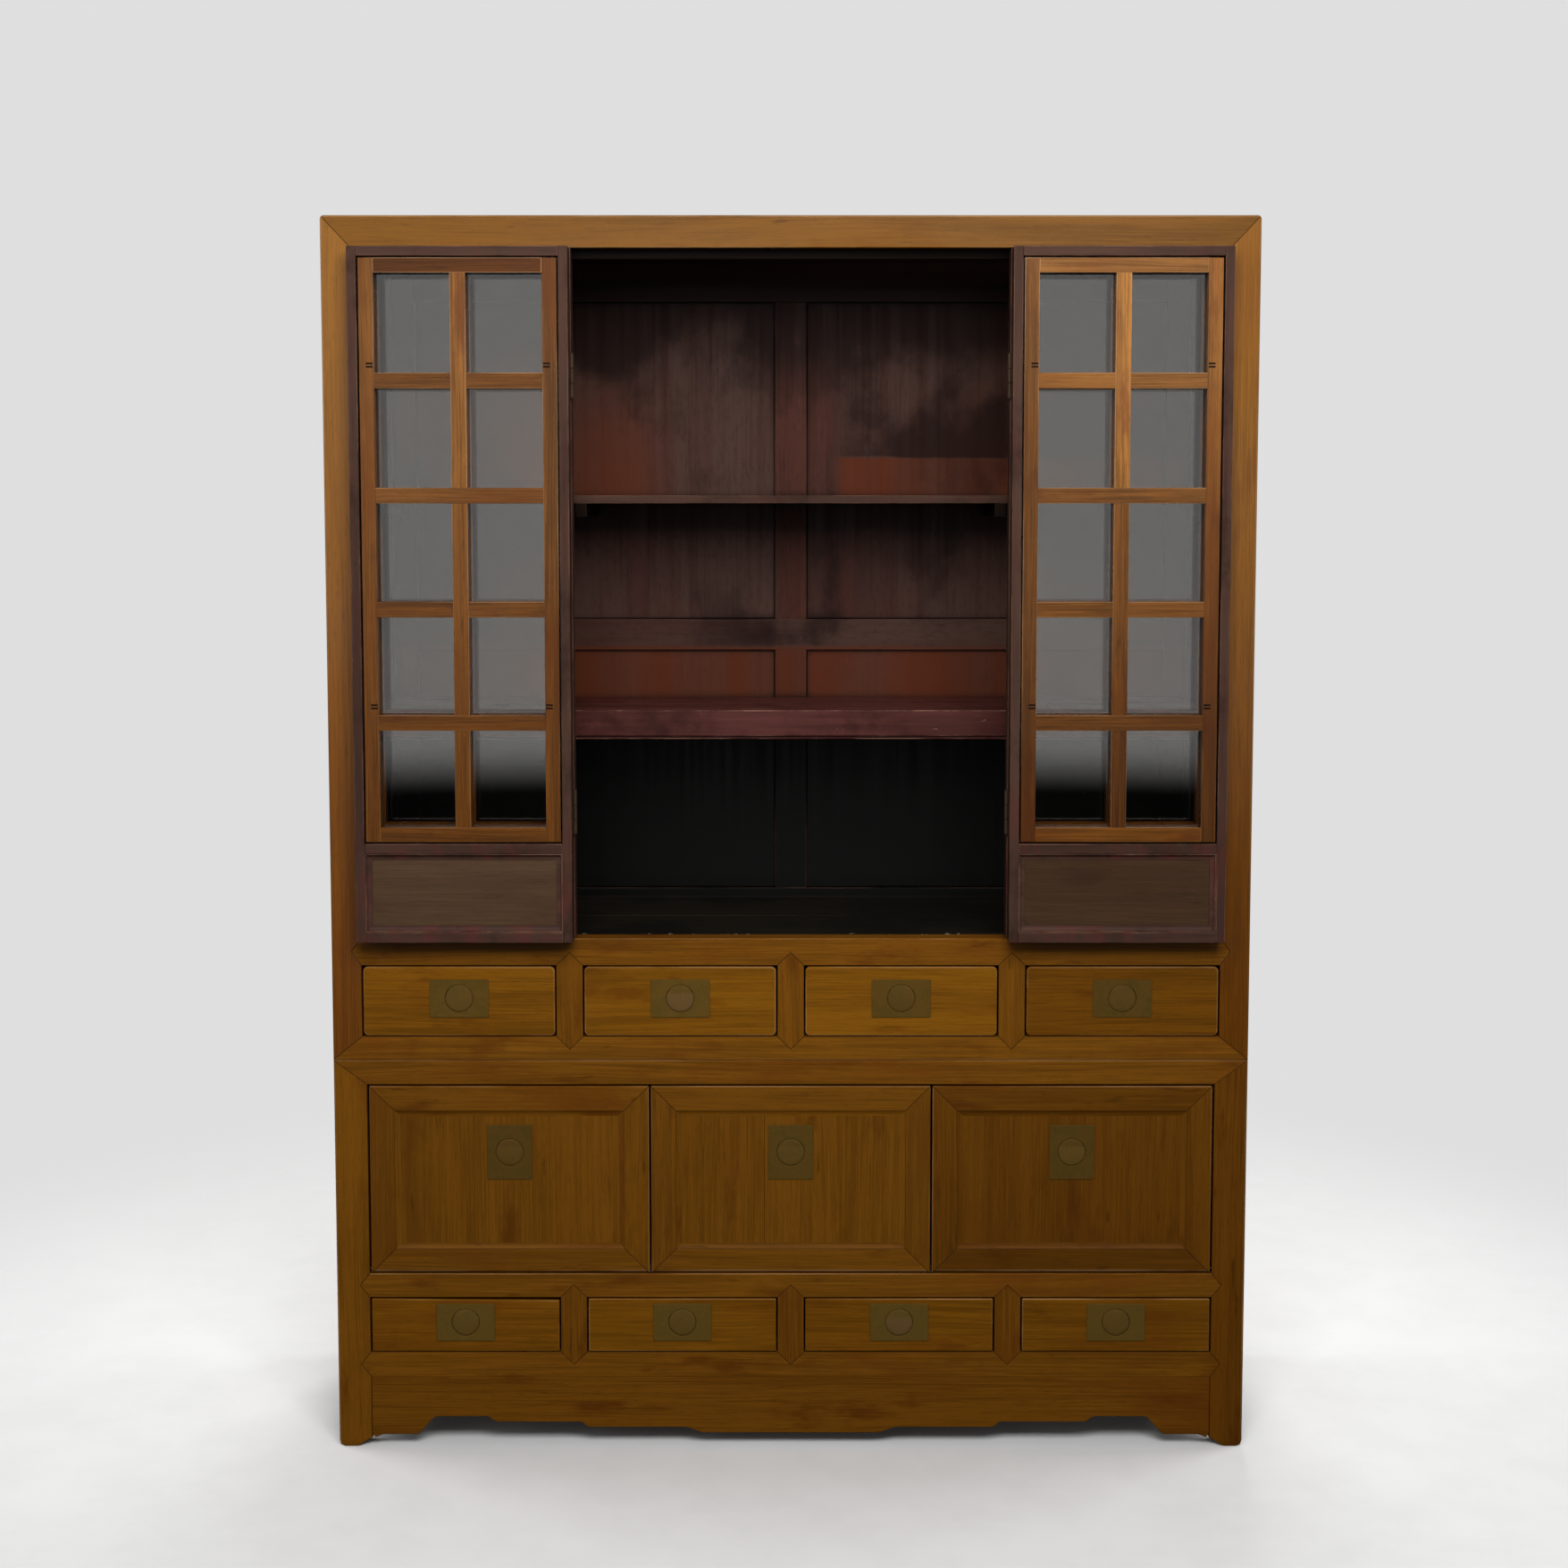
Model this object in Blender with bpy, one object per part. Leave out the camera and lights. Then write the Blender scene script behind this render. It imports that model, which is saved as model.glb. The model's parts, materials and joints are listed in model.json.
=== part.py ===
"""Two-part library cabinet: folding glazed doors, drawers with flush disc pulls, tip-out lower doors.

Metres, +Z up, front towards -Y, standing on z = 0. Every piece hangs from the empty "front_plane", so in
the functions below y = 0 is the face of the case and y grows towards the back. Rest is the pose of the
photograph: the two inner leaves are folded back flat over the fixed outer ones, the rest is closed.
"""

import math

import bmesh
import bpy
from mathutils import Vector

# Overall sizes
WIDTH = 1.485
DEPTH = 0.400
HEIGHT = 2.000
LOWER_HEIGHT = 0.646

# Clearances
SEAT = 0.0003  # between pieces that rest on each other
BITE = 0.0005  # how far shapes that are fused run into each other
DRAWER_GAP = 0.0022
DOOR_GAP = 0.0030
LEAF_GAP = 0.0020
DISC_GAP = 0.0015
ROD_GAP = 0.0003
SASH_GAP = 0.0005
PIN_GAP = 0.0004
CUT_OVER = 0.0010  # how far a cutter runs on past the face that it cuts

# Face frames
FRAME_T = 0.034
STILE_W = 0.048
LEG_W = 0.054
DIVIDER_W = 0.043
DRAWERS_IN_ROW = 4
UPPER_TOP_RAIL = 0.051
UPPER_MID_RAIL = 0.044
UPPER_DRAWER_H = 0.117
UPPER_BOTTOM_RAIL = 0.039
LOWER_TOP_RAIL = 0.040
LOWER_MID_RAIL = 0.040
LOWER_DRAWER_H = 0.092
LOWER_BOTTOM_RAIL = 0.041
APRON_TOP = 0.118
FRAME_EASE = 0.003
JOINT_LINE_W = 0.0010
JOINT_LINE_D = 0.0006
JOINT_LINE_OVER = 0.0021
DART = 0.021  # how far a divider's point runs into its rail
TENON_POINT = 0.016  # how far a rail's point runs into its stile

# Feet and apron
APRON_T = 0.020
APRON_SET = 0.002
TOE_CUT = 0.018  # how much narrower a foot is than its leg
TOE_RISE = 0.010
APRON_ARCH = 0.050
APRON_SPUR = 0.020
APRON_SPUR_RUN = (0.020, 0.072)
APRON_ARCH_RUN = 0.108
APRON_CUSPS = ((0.500, 0.482, 0.041), (0.346, 0.331, 0.032), (0.177, 0.140, 0.0227))
APRON_HALF = 0.6885  # the half span that the cusp places above are measured on
CURVE_STEPS = 5

# Case boards
SIDE_T = 0.030
SIDE_STILE = 0.046
SIDE_RECESS = 0.008
SIDE_SKIRT = 0.062
BACK_T = 0.026
BACK_SET = 0.008
BACK_RECESS = 0.008
BACK_MUNTIN = 0.055
BACK_TOP_RAIL = 0.052
BACK_BOTTOM_RAIL = 0.018
BACK_MID_RAIL = (0.443, 0.497)  # above the book floor
RECESS_SLOPE = 0.005
TOP_T = 0.018
TOP_DROP = 0.006
STOP_T = 0.016
STOP_H = 0.014
FLOOR_T = 0.018
DECK_T = 0.016
GUIDE_H = 0.010
GUIDE_GAP = 0.0010

# Shelves
SHELF_SET = 0.120
UPPER_SHELF_UP = 0.714  # above the book floor
UPPER_SHELF_T = 0.013
BATTEN_X = 0.345
BATTEN_W = 0.018
BATTEN_H = 0.022
LOWER_SHELF_UP = 0.359
LOWER_SHELF_T = 0.016
SHELF_RAIL_H = 0.043
SHELF_RAIL_T = 0.026
SHELF_BEAD = 0.006
BEARER_W = 0.016
BEARER_H = 0.020

# Drawers
DRAWER_BEHIND = 0.021  # from a drawer's end to the back board
DRAWER_FRONT_T = 0.020
DRAWER_CORNER = 0.008
DRAWER_ARRIS = 0.0022
DRAWER_LIFT = 0.0010
TRAY_INSET = 0.0020
TRAY_SIDE_T = 0.012
TRAY_FLOOR_T = 0.008
TRAY_FLOOR_Z = 0.007
TRAY_BACK_T = 0.012
TRAY_DROP = 0.010

# Plates and disc pulls
DRAWER_PLATE_MARGIN = (0.0245, 0.0080)  # from the disc's hole to the plate's edge, sideways and upright
DOOR_PLATE_MARGIN = (0.0135, 0.0220)
PLATE_CORNER = 0.0012
PLATE_T = 0.0012
PLATE_RISE = 0.005
DOOR_PLATE_DROP = 0.110
DISC_R = 0.0215
DISC_CHORD = 0.40  # height of the pivot above the disc's centre, as a share of its radius
DISC_STEPS = 28
ROD_R = 0.0008
EAR_W = 0.0020
EAR_FROM_DISC = 0.0019
EAR_WALL = 0.0010
DISH_MARGIN = 0.0050
DISH_FLOOR = 0.0040  # wood left behind the hollow

# Lower doors
DOORS = 3
DOOR_T = 0.024
DOOR_MEMBER = 0.041
DOOR_RECESS = 0.003
DOOR_SLOPE = 0.004
DOOR_FOOT = 0.0008
PIN_R = 0.0025
PIN_L = 0.010
PIN_STEPS = 12
BORE_WALL = 0.0031
BORE_END = 0.002
TAB_D = 0.015

# Glazed leaves
LEAF_T = 0.032
LEAF_STILE = 0.015
LEAF_LIP = 0.014
LEAF_LIP_T = 0.010
LEAF_TOP_RAIL = 0.0155
LEAF_LOCK_RAIL = 0.016
LEAF_BOTTOM_RAIL = 0.017
SASH_FOOT = 0.1595  # above the leaf's foot
SASH_STILE = 0.023
SASH_BAR = 0.0245
SASH_SET = 0.0014
PANE_COLUMNS = 2
PANE_ROWS = 5
GLASS_T = 0.003
PANEL_SLOPE = 0.010
PANEL_RECESS = 0.007
HINGE_FROM_ENDS = (0.205, 0.199)  # from the leaf's foot and from its top
HINGE_L = 0.070
HINGE_STAND = 0.003  # from a knuckle to the leaf's face
KNUCKLE_WALL = 0.0019
KNUCKLE_STEPS = 16
HINGE_PIN_R = 0.0017
FLAP_D = 0.022

# Colours, roughness and metal of each finish
FINISHES = {
    "honey_wood": ((0.250, 0.108, 0.022), 0.45, 0.0),
    "drawer_wood": ((0.220, 0.092, 0.015), 0.45, 0.0),
    "panel_wood": ((0.190, 0.078, 0.012), 0.48, 0.0),
    "dark_lacquer": ((0.060, 0.026, 0.018), 0.42, 0.0),
    "lattice_wood": ((0.240, 0.095, 0.032), 0.50, 0.0),
    "red_lacquer": ((0.090, 0.022, 0.014), 0.50, 0.0),
    "black_lacquer": ((0.012, 0.011, 0.010), 0.55, 0.0),
    "bronze_brass": ((0.230, 0.150, 0.050), 0.50, 1.0),
    "window_glass": ((0.800, 0.860, 0.840), 0.05, 0.0),
}

# Worked-out sizes and places
TOE_FLAT = LEG_W - TOE_CUT
BORE_R = PIN_R + PIN_GAP
BORE_L = PIN_L + BORE_END
PIVOT_IN = BORE_R + BORE_WALL
HINGE_BORE_R = HINGE_PIN_R + PIN_GAP
KNUCKLE_R = HINGE_BORE_R + KNUCKLE_WALL
HINGE_PROUD = KNUCKLE_R + HINGE_STAND
DISC_HOLE_R = DISC_R + DISC_GAP
DISH_R = DISC_R + DISH_MARGIN
FOLD = 2 * HINGE_PROUD + LEAF_T  # how far the folded leaves stand in front of the case
Y_FRONT = -(DEPTH - FOLD) / 2
HALF = WIDTH / 2
BEHIND = FRAME_T + SEAT
BACK_Y = DEPTH - BACK_SET - BACK_T
DRAWER_L = BACK_Y - DRAWER_BEHIND
INSIDE = HALF - SIDE_T - SEAT
UPPER_OPEN = HALF - STILE_W
LOWER_OPEN = HALF - LEG_W
Z_UPPER = LOWER_HEIGHT + SEAT
Z_UPPER_DRAWER = LOWER_HEIGHT + UPPER_BOTTOM_RAIL
Z_BOOK = Z_UPPER_DRAWER + UPPER_DRAWER_H + UPPER_MID_RAIL
Z_BOOK_TOP = HEIGHT - UPPER_TOP_RAIL
UPPER_SHELF_Z = Z_BOOK + UPPER_SHELF_UP
LOWER_SHELF_Z = Z_BOOK + LOWER_SHELF_UP
Z_LOWER_DRAWER = APRON_TOP + LOWER_BOTTOM_RAIL
Z_DOOR = Z_LOWER_DRAWER + LOWER_DRAWER_H + LOWER_MID_RAIL
Z_DOOR_TOP = LOWER_HEIGHT - LOWER_TOP_RAIL
LEAF_W = (2 * UPPER_OPEN - 5 * LEAF_GAP) / 4
LEAF_H = Z_BOOK_TOP - Z_BOOK - 2 * LEAF_GAP
LEAF_FOOT = Z_BOOK + LEAF_GAP
LEAF_JOINT = LEAF_GAP + LEAF_W
SASH_Z = (SASH_FOOT, LEAF_H - LEAF_TOP_RAIL)
PANEL_Z = (LEAF_BOTTOM_RAIL, SASH_FOOT - LEAF_LOCK_RAIL)
HINGE_Z = (HINGE_FROM_ENDS[0], LEAF_H - HINGE_FROM_ENDS[1])
DOOR_W = (2 * LOWER_OPEN - (DOORS + 1) * DOOR_GAP) / DOORS
DOOR_H = Z_DOOR_TOP - Z_DOOR - DOOR_GAP - DOOR_FOOT


# Mesh helpers
def oriented(axis, along, u, v):
    """The point at (u, v) in the plane across an axis: (y, z) for X, (x, z) for Y, (x, y) for Z."""
    return {"X": (along, u, v), "Y": (u, along, v), "Z": (u, v, along)}[axis]


def prism(axis, outline, start, end, holes=()):
    """A closed outline with holes, pulled along an axis from start to end."""
    bm = bmesh.new()
    rings = [[bm.verts.new(oriented(axis, start, u, v)) for u, v in loop] for loop in (outline, *holes)]
    if holes:
        edges = [bm.edges.new((ring[i - 1], ring[i])) for ring in rings for i in range(len(ring))]
        bmesh.ops.triangle_fill(bm, use_beauty=True, edges=edges)
    else:
        bm.faces.new(rings[0])
    pulled = bmesh.ops.extrude_face_region(bm, geom=bm.faces[:])
    moved = [item for item in pulled["geom"] if isinstance(item, bmesh.types.BMVert)]
    shift = oriented(axis, end - start, 0.0, 0.0)
    bmesh.ops.translate(bm, verts=moved, vec=shift)
    bmesh.ops.recalc_face_normals(bm, faces=bm.faces[:])
    return bm


def box(low, high):
    """A board between two corners."""
    return prism("Z", rectangle(low[0], high[0], low[1], high[1]), low[2], high[2])


def rectangle(u0, u1, v0, v1):
    return [(u0, v0), (u1, v0), (u1, v1), (u0, v1)]


def circle(radius, steps, u=0.0, v=0.0):
    turns = [2 * math.pi * (i + 0.5) / steps for i in range(steps)]
    return [(u + radius * math.cos(t), v + radius * math.sin(t)) for t in turns]


def rounded(u0, u1, v0, v1, radius, steps=4):
    """A rectangle with round corners."""
    points = []
    corners = ((u1, v0, -1), (u1, v1, 0), (u0, v1, 1), (u0, v0, 2))
    for u, v, quarter in corners:
        cu = u - math.copysign(radius, u - (u0 + u1) / 2)
        cv = v - math.copysign(radius, v - (v0 + v1) / 2)
        for i in range(steps + 1):
            turn = math.pi / 2 * (quarter + i / steps)
            points.append((cu + radius * math.cos(turn), cv + radius * math.sin(turn)))
    return points


def cyma(start, end):
    """Points of an S-curve from start up to, but without, end, level at both ends."""
    points = []
    for i in range(CURVE_STEPS):
        t = i / CURVE_STEPS
        rise = t * t * (3 - 2 * t)
        points.append((start[0] + (end[0] - start[0]) * t, start[1] + (end[1] - start[1]) * rise))
    return points


def frustum(axis, face, inward, rect, depth, slope):
    """A cutter that sinks a panel into a face, with sloping margins. inward is +1 or -1 along the axis."""
    wide = slope * CUT_OVER / depth
    bm = bmesh.new()
    rings = []
    for along, grow in ((face - inward * CUT_OVER, wide), (face + inward * depth, -slope)):
        corners = rectangle(rect[0] - grow, rect[1] + grow, rect[2] - grow, rect[3] + grow)
        rings.append([bm.verts.new(oriented(axis, along, u, v)) for u, v in corners])
    for i in range(4):
        bm.faces.new((rings[0][i - 1], rings[0][i], rings[1][i], rings[1][i - 1]))
    bm.faces.new(rings[0])
    bm.faces.new(rings[1])
    bmesh.ops.recalc_face_normals(bm, faces=bm.faces[:])
    return bm


def joint_line(points):
    """A fine groove along a bent line on the front face, where two members meet. It overruns both ends."""
    points = [Vector(p) for p in points]
    points[0] += (points[0] - points[1]).normalized() * JOINT_LINE_OVER
    points[-1] += (points[-1] - points[-2]).normalized() * JOINT_LINE_OVER
    left, right = [], []
    for i, point in enumerate(points):
        before = (point - points[max(i - 1, 0)]).normalized()
        after = (points[min(i + 1, len(points) - 1)] - point).normalized()
        normal = Vector((-(before + after).y, (before + after).x)).normalized()
        square = Vector((-(after if after.length else before).y, (after if after.length else before).x))
        reach = JOINT_LINE_W / 2 / normal.dot(square)
        left.append(tuple(point + normal * reach))
        right.append(tuple(point - normal * reach))
    return prism("Y", left + right[::-1], -CUT_OVER, JOINT_LINE_D)


def merged(shapes):
    """Several cutters that don't touch, as one mesh."""
    whole = bmesh.new()
    for shape in shapes:
        mesh = bpy.data.meshes.new("piece")
        shape.to_mesh(mesh)
        shape.free()
        whole.from_mesh(mesh)
        bpy.data.meshes.remove(mesh)
    return whole


def ease(bm, chosen, width, segments=2):
    """Rounds the edges that a test on their two ends picks."""
    edges = [e for e in bm.edges if len(e.link_faces) == 2 and e.calc_face_angle() > 0.5]
    edges = [e for e in edges if chosen(e.verts[0].co) and chosen(e.verts[1].co)]
    bmesh.ops.bevel(bm, geom=edges, offset=width, segments=segments, profile=0.5, affect="EDGES")


# Object helpers
def empty(name, parent=None, location=(0, 0, 0)):
    obj = bpy.data.objects.new(name, None)
    bpy.context.scene.collection.objects.link(obj)
    obj.parent = parent
    obj.location = location
    return obj


def solid(name, bm):
    mesh = bpy.data.meshes.new(name)
    bm.to_mesh(mesh)
    bm.free()
    obj = bpy.data.objects.new(name, mesh)
    bpy.context.scene.collection.objects.link(obj)
    return obj


def combine(obj, operation, shapes):
    """Joins shapes to an object that isn't placed yet, or cuts them from it."""
    tools = [solid("tool", shape) for shape in shapes]
    for tool in tools:
        modifier = obj.modifiers.new("combine", "BOOLEAN")
        modifier.operation = operation
        modifier.object = tool
        modifier.solver = "EXACT"
    graph = bpy.context.evaluated_depsgraph_get()
    mesh = bpy.data.meshes.new_from_object(obj.evaluated_get(graph))
    obj.modifiers.clear()
    old, obj.data = obj.data, mesh
    bpy.data.meshes.remove(old)
    mesh.name = obj.name
    for tool in tools:
        bpy.data.objects.remove(tool)


def place(obj, finish, parent, location=(0, 0, 0), turn=0.0, smooth=False):
    """Gives a finished piece its material, its parent and its place."""
    obj.data.materials.clear()
    obj.data.materials.append(MATERIALS[finish])
    obj.parent = parent
    obj.location = location
    obj.rotation_euler = (0, 0, turn)
    if smooth:
        obj.data.shade_smooth()
        obj.data.set_sharp_from_angle(angle=math.radians(35))
    return obj


def make_material(name, colour, roughness, metallic):
    material = bpy.data.materials.new(name)
    material.use_nodes = True
    shader = material.node_tree.nodes["Principled BSDF"]
    shader.inputs["Base Color"].default_value = (*colour, 1.0)
    shader.inputs["Roughness"].default_value = roughness
    shader.inputs["Metallic"].default_value = metallic
    if name == "window_glass":
        shader.inputs["Transmission Weight"].default_value = 1.0
    return material


# Face frames, feet and apron
def bays(half_span):
    """Left and right edges of the drawer openings in a row."""
    clear = (2 * half_span - (DRAWERS_IN_ROW - 1) * DIVIDER_W) / DRAWERS_IN_ROW
    starts = [-half_span + i * (clear + DIVIDER_W) for i in range(DRAWERS_IN_ROW)]
    return [(x, x + clear) for x in starts]


def dividers(half_span):
    return [x1 + DIVIDER_W / 2 for _, x1 in bays(half_span)[:-1]]


def dart_lines(half_span, low, high):
    """The points of the dividers, run into the rails below and above a drawer row."""
    half = DIVIDER_W / 2
    lines = []
    for x in dividers(half_span):
        lines.append([(x - half, high), (x, high + DART), (x + half, high)])
        lines.append([(x - half, low), (x, low - DART), (x + half, low)])
    return lines


def rail_points(half_span, low, high):
    """The points of a rail's ends, run into the stiles."""
    middle = (low + high) / 2
    lines = []
    for side in (-1, 1):
        shoulder = side * half_span
        lines.append([(shoulder, low), (shoulder + side * TENON_POINT, middle), (shoulder, high)])
    return lines


def mitres(half_span, inner_z, outer_z):
    """The slanting joints at a frame's two corners."""
    return [[(s * HALF, outer_z), (s * half_span, inner_z)] for s in (-1, 1)]


def cut_lines(obj, lines):
    combine(obj, "DIFFERENCE", [merged([joint_line(line) for line in lines])])


def ease_posts(obj):
    """Rounds the two outer front edges of a face frame."""
    turns = [math.pi / 2 * i / CURVE_STEPS for i in range(CURVE_STEPS + 1)]
    arc = [(HALF - FRAME_EASE * (1 - math.sin(t)), FRAME_EASE * (1 - math.cos(t))) for t in turns]
    wide = HALF + CUT_OVER
    right = [(HALF - FRAME_EASE, -CUT_OVER)] + arc + [(wide, FRAME_EASE), (wide, -CUT_OVER)]
    left = [(-x, y) for x, y in right]
    combine(obj, "DIFFERENCE", [prism("Z", line, -CUT_OVER, HEIGHT + CUT_OVER) for line in (left, right)])


def framed(name, outline, holes):
    """A face frame cut to its outline, with its openings and its rounded posts."""
    obj = solid(name, prism("Y", outline, 0.0, FRAME_T))
    cuts = [prism("Y", hole, -CUT_OVER, FRAME_T + CUT_OVER) for hole in holes]
    combine(obj, "DIFFERENCE", [merged(cuts)])
    ease_posts(obj)
    return obj


def upper_face_frame(front):
    row_top = Z_UPPER_DRAWER + UPPER_DRAWER_H
    holes = [rectangle(x0, x1, Z_UPPER_DRAWER, row_top) for x0, x1 in bays(UPPER_OPEN)]
    holes.append(rectangle(-UPPER_OPEN, UPPER_OPEN, Z_BOOK, Z_BOOK_TOP))
    obj = framed("upper_face_frame", rectangle(-HALF, HALF, Z_UPPER, HEIGHT), holes)
    lines = dart_lines(UPPER_OPEN, Z_UPPER_DRAWER, row_top) + rail_points(UPPER_OPEN, row_top, Z_BOOK)
    lines += mitres(UPPER_OPEN, Z_BOOK_TOP, HEIGHT) + mitres(UPPER_OPEN, Z_UPPER_DRAWER, Z_UPPER)
    cut_lines(obj, lines)
    place(obj, "honey_wood", front)


def toe():
    """Half outline of a foot's inner edge, from the floor up to the apron's foot, on the right."""
    return cyma((HALF - TOE_FLAT, 0.0), (LOWER_OPEN, TOE_RISE)) + [(LOWER_OPEN, TOE_RISE)]


def door_places():
    """Middle of each lower door."""
    step = DOOR_W + DOOR_GAP
    return [(i - (DOORS - 1) / 2) * step for i in range(DOORS)]


def pivot_z():
    return Z_DOOR + DOOR_FOOT + PIVOT_IN


def door_pivots():
    """Pins that the lower doors turn on: in the legs at both ends, on thin tabs between the doors."""
    height = pivot_z()
    ring = circle(PIN_R, PIN_STEPS, PIVOT_IN, height)
    pins, tabs = [], []
    for side in (-1, 1):
        ends = sorted((side * (LOWER_OPEN + PIN_R), side * (LOWER_OPEN - PIN_L)))
        pins.append(prism("X", ring, *ends))
    for left, right in zip(door_places(), door_places()[1:]):
        x = (left + right) / 2
        thick = DOOR_GAP / 2 - SEAT
        outline = rectangle(BITE, TAB_D, Z_DOOR - PIN_R, height + PIVOT_IN)
        tabs.append(prism("X", outline, x - thick, x + thick))
        pins.append(prism("X", ring, x - PIN_L, x + PIN_L))
    return tabs + pins


def lower_face_frame(front):
    row_top = Z_LOWER_DRAWER + LOWER_DRAWER_H
    holes = [rectangle(x0, x1, Z_LOWER_DRAWER, row_top) for x0, x1 in bays(LOWER_OPEN)]
    holes.append(rectangle(-LOWER_OPEN, LOWER_OPEN, Z_DOOR, Z_DOOR_TOP))
    right = [(HALF, LOWER_HEIGHT), (HALF, 0.0)] + toe() + [(LOWER_OPEN, APRON_TOP)]
    outline = right + [(-x, z) for x, z in right[::-1]]
    obj = framed("lower_face_frame", outline, holes)
    lines = dart_lines(LOWER_OPEN, Z_LOWER_DRAWER, row_top) + rail_points(LOWER_OPEN, row_top, Z_DOOR)
    lines += rail_points(LOWER_OPEN, APRON_TOP, Z_LOWER_DRAWER) + mitres(LOWER_OPEN, Z_DOOR_TOP, LOWER_HEIGHT)
    cut_lines(obj, lines)
    combine(obj, "UNION", door_pivots())
    place(obj, "honey_wood", front)


def apron_edge():
    """Right half of the apron's cusped lower edge, from the leg to the middle."""
    scale = LOWER_OPEN / APRON_HALF
    end = LOWER_OPEN - SEAT
    spur = (end - APRON_SPUR_RUN[0] * scale, APRON_SPUR)
    points = cyma((end, TOE_RISE), spur) + [spur]
    arch = (end - APRON_ARCH_RUN * scale, APRON_ARCH)
    points += cyma((end - APRON_SPUR_RUN[1] * scale, APRON_SPUR), arch) + [arch]
    level = APRON_ARCH
    for outer, inner, height in APRON_CUSPS:
        points += cyma((outer * scale, level), (inner * scale, height)) + [(inner * scale, height)]
        level = height
    return points


def apron(front):
    edge = apron_edge()
    top = APRON_TOP - SEAT
    end = LOWER_OPEN - SEAT
    outline = [(-end, top)] + [(-x, z) for x, z in edge] + edge[::-1] + [(end, top)]
    bm = prism("Y", outline, APRON_SET, APRON_SET + APRON_T)
    place(solid("apron", bm), "honey_wood", front)


# Sides, backs, boards and shelves
def side_panels(obj, outer, rects):
    """Sinks framed panels into both faces of a side board whose outer face is at x = outer."""
    out = math.copysign(1.0, outer)
    inner = outer - out * SIDE_T
    cuts = [frustum("X", outer, -out, rect, SIDE_RECESS, RECESS_SLOPE) for rect in rects]
    cuts += [frustum("X", inner, out, rect, SIDE_RECESS, RECESS_SLOPE) for rect in rects]
    combine(obj, "DIFFERENCE", cuts)


def side_board(name, outer, outline):
    out = math.copysign(1.0, outer)
    ends = sorted((outer, outer - out * SIDE_T))
    return solid(name, prism("X", outline, *ends))


def upper_side(front, name, out):
    outer = out * HALF
    obj = side_board(name, outer, rectangle(BEHIND, DEPTH, Z_UPPER, HEIGHT))
    y0, y1 = BEHIND + SIDE_STILE, DEPTH - SIDE_STILE
    row_top = Z_UPPER_DRAWER + UPPER_DRAWER_H
    rects = [(y0, y1, Z_UPPER_DRAWER, row_top), (y0, y1, Z_BOOK, LOWER_SHELF_Z - SHELF_RAIL_H)]
    rects.append((y0, y1, LOWER_SHELF_Z, Z_BOOK_TOP))
    side_panels(obj, outer, rects)
    inner = outer - out * SIDE_T
    bearers = []
    for under in (LOWER_SHELF_Z - LOWER_SHELF_T, UPPER_SHELF_Z - UPPER_SHELF_T):
        ends = sorted((inner + out * SIDE_T / 2, inner - out * BEARER_W))
        low = (ends[0], SHELF_SET + SHELF_RAIL_T + SEAT, under - SEAT - BEARER_H)
        bearers.append(box(low, (ends[1], BACK_Y - SEAT, under - SEAT)))
    combine(obj, "UNION", bearers)
    place(obj, "honey_wood", front)


def lower_side(front, name, out):
    outer = out * HALF
    leg = DEPTH - LEG_W
    skirt = cyma((leg, TOE_RISE), (leg - SIDE_SKIRT / 2, SIDE_SKIRT))
    outline = [(BEHIND, LOWER_HEIGHT), (DEPTH, LOWER_HEIGHT), (DEPTH, 0.0), (DEPTH - TOE_FLAT, 0.0)]
    outline += skirt + [(leg - SIDE_SKIRT / 2, SIDE_SKIRT), (BEHIND, SIDE_SKIRT)]
    obj = side_board(name, outer, outline)
    y0, y1 = BEHIND + SIDE_STILE, DEPTH - SIDE_STILE
    row_top = Z_LOWER_DRAWER + LOWER_DRAWER_H
    side_panels(obj, outer, [(y0, y1, Z_LOWER_DRAWER, row_top), (y0, y1, Z_DOOR, Z_DOOR_TOP)])
    place(obj, "honey_wood", front)


def back_board(front, name, finish, z0, z1, rects):
    """A framed back between the sides, with panels sunk into both faces."""
    obj = solid(name, box((-INSIDE, BACK_Y, z0), (INSIDE, BACK_Y + BACK_T, z1)))
    cuts = [frustum("Y", BACK_Y, 1, rect, BACK_RECESS, RECESS_SLOPE) for rect in rects]
    cuts += [frustum("Y", BACK_Y + BACK_T, -1, rect, BACK_RECESS, RECESS_SLOPE) for rect in rects]
    combine(obj, "DIFFERENCE", cuts)
    place(obj, finish, front)


def upper_back(front):
    z0, z1 = Z_UPPER, HEIGHT - TOP_DROP
    low, high = Z_BOOK + BACK_MID_RAIL[0], Z_BOOK + BACK_MID_RAIL[1]
    spans = [(Z_BOOK + BACK_BOTTOM_RAIL, low), (high, Z_BOOK_TOP - BACK_TOP_RAIL)]
    columns = [(-INSIDE + BACK_MUNTIN, -BACK_MUNTIN / 2), (BACK_MUNTIN / 2, INSIDE - BACK_MUNTIN)]
    rects = [(x0, x1, *span) for span in spans for x0, x1 in columns]
    back_board(front, "upper_back", "red_lacquer", z0, z1, rects)


def lower_back(front):
    columns = DOORS
    clear = (2 * INSIDE - (columns + 1) * BACK_MUNTIN) / columns
    starts = [-INSIDE + BACK_MUNTIN + i * (clear + BACK_MUNTIN) for i in range(columns)]
    rects = [(x, x + clear, Z_DOOR + BACK_BOTTOM_RAIL, Z_DOOR_TOP - BACK_BOTTOM_RAIL) for x in starts]
    back_board(front, "lower_back", "panel_wood", APRON_TOP, LOWER_HEIGHT - TOP_DROP, rects)


def cross_board(name, profile):
    """A board with a profile in the YZ plane, run from side to side."""
    return solid(name, prism("X", profile, -INSIDE, INSIDE))


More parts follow.
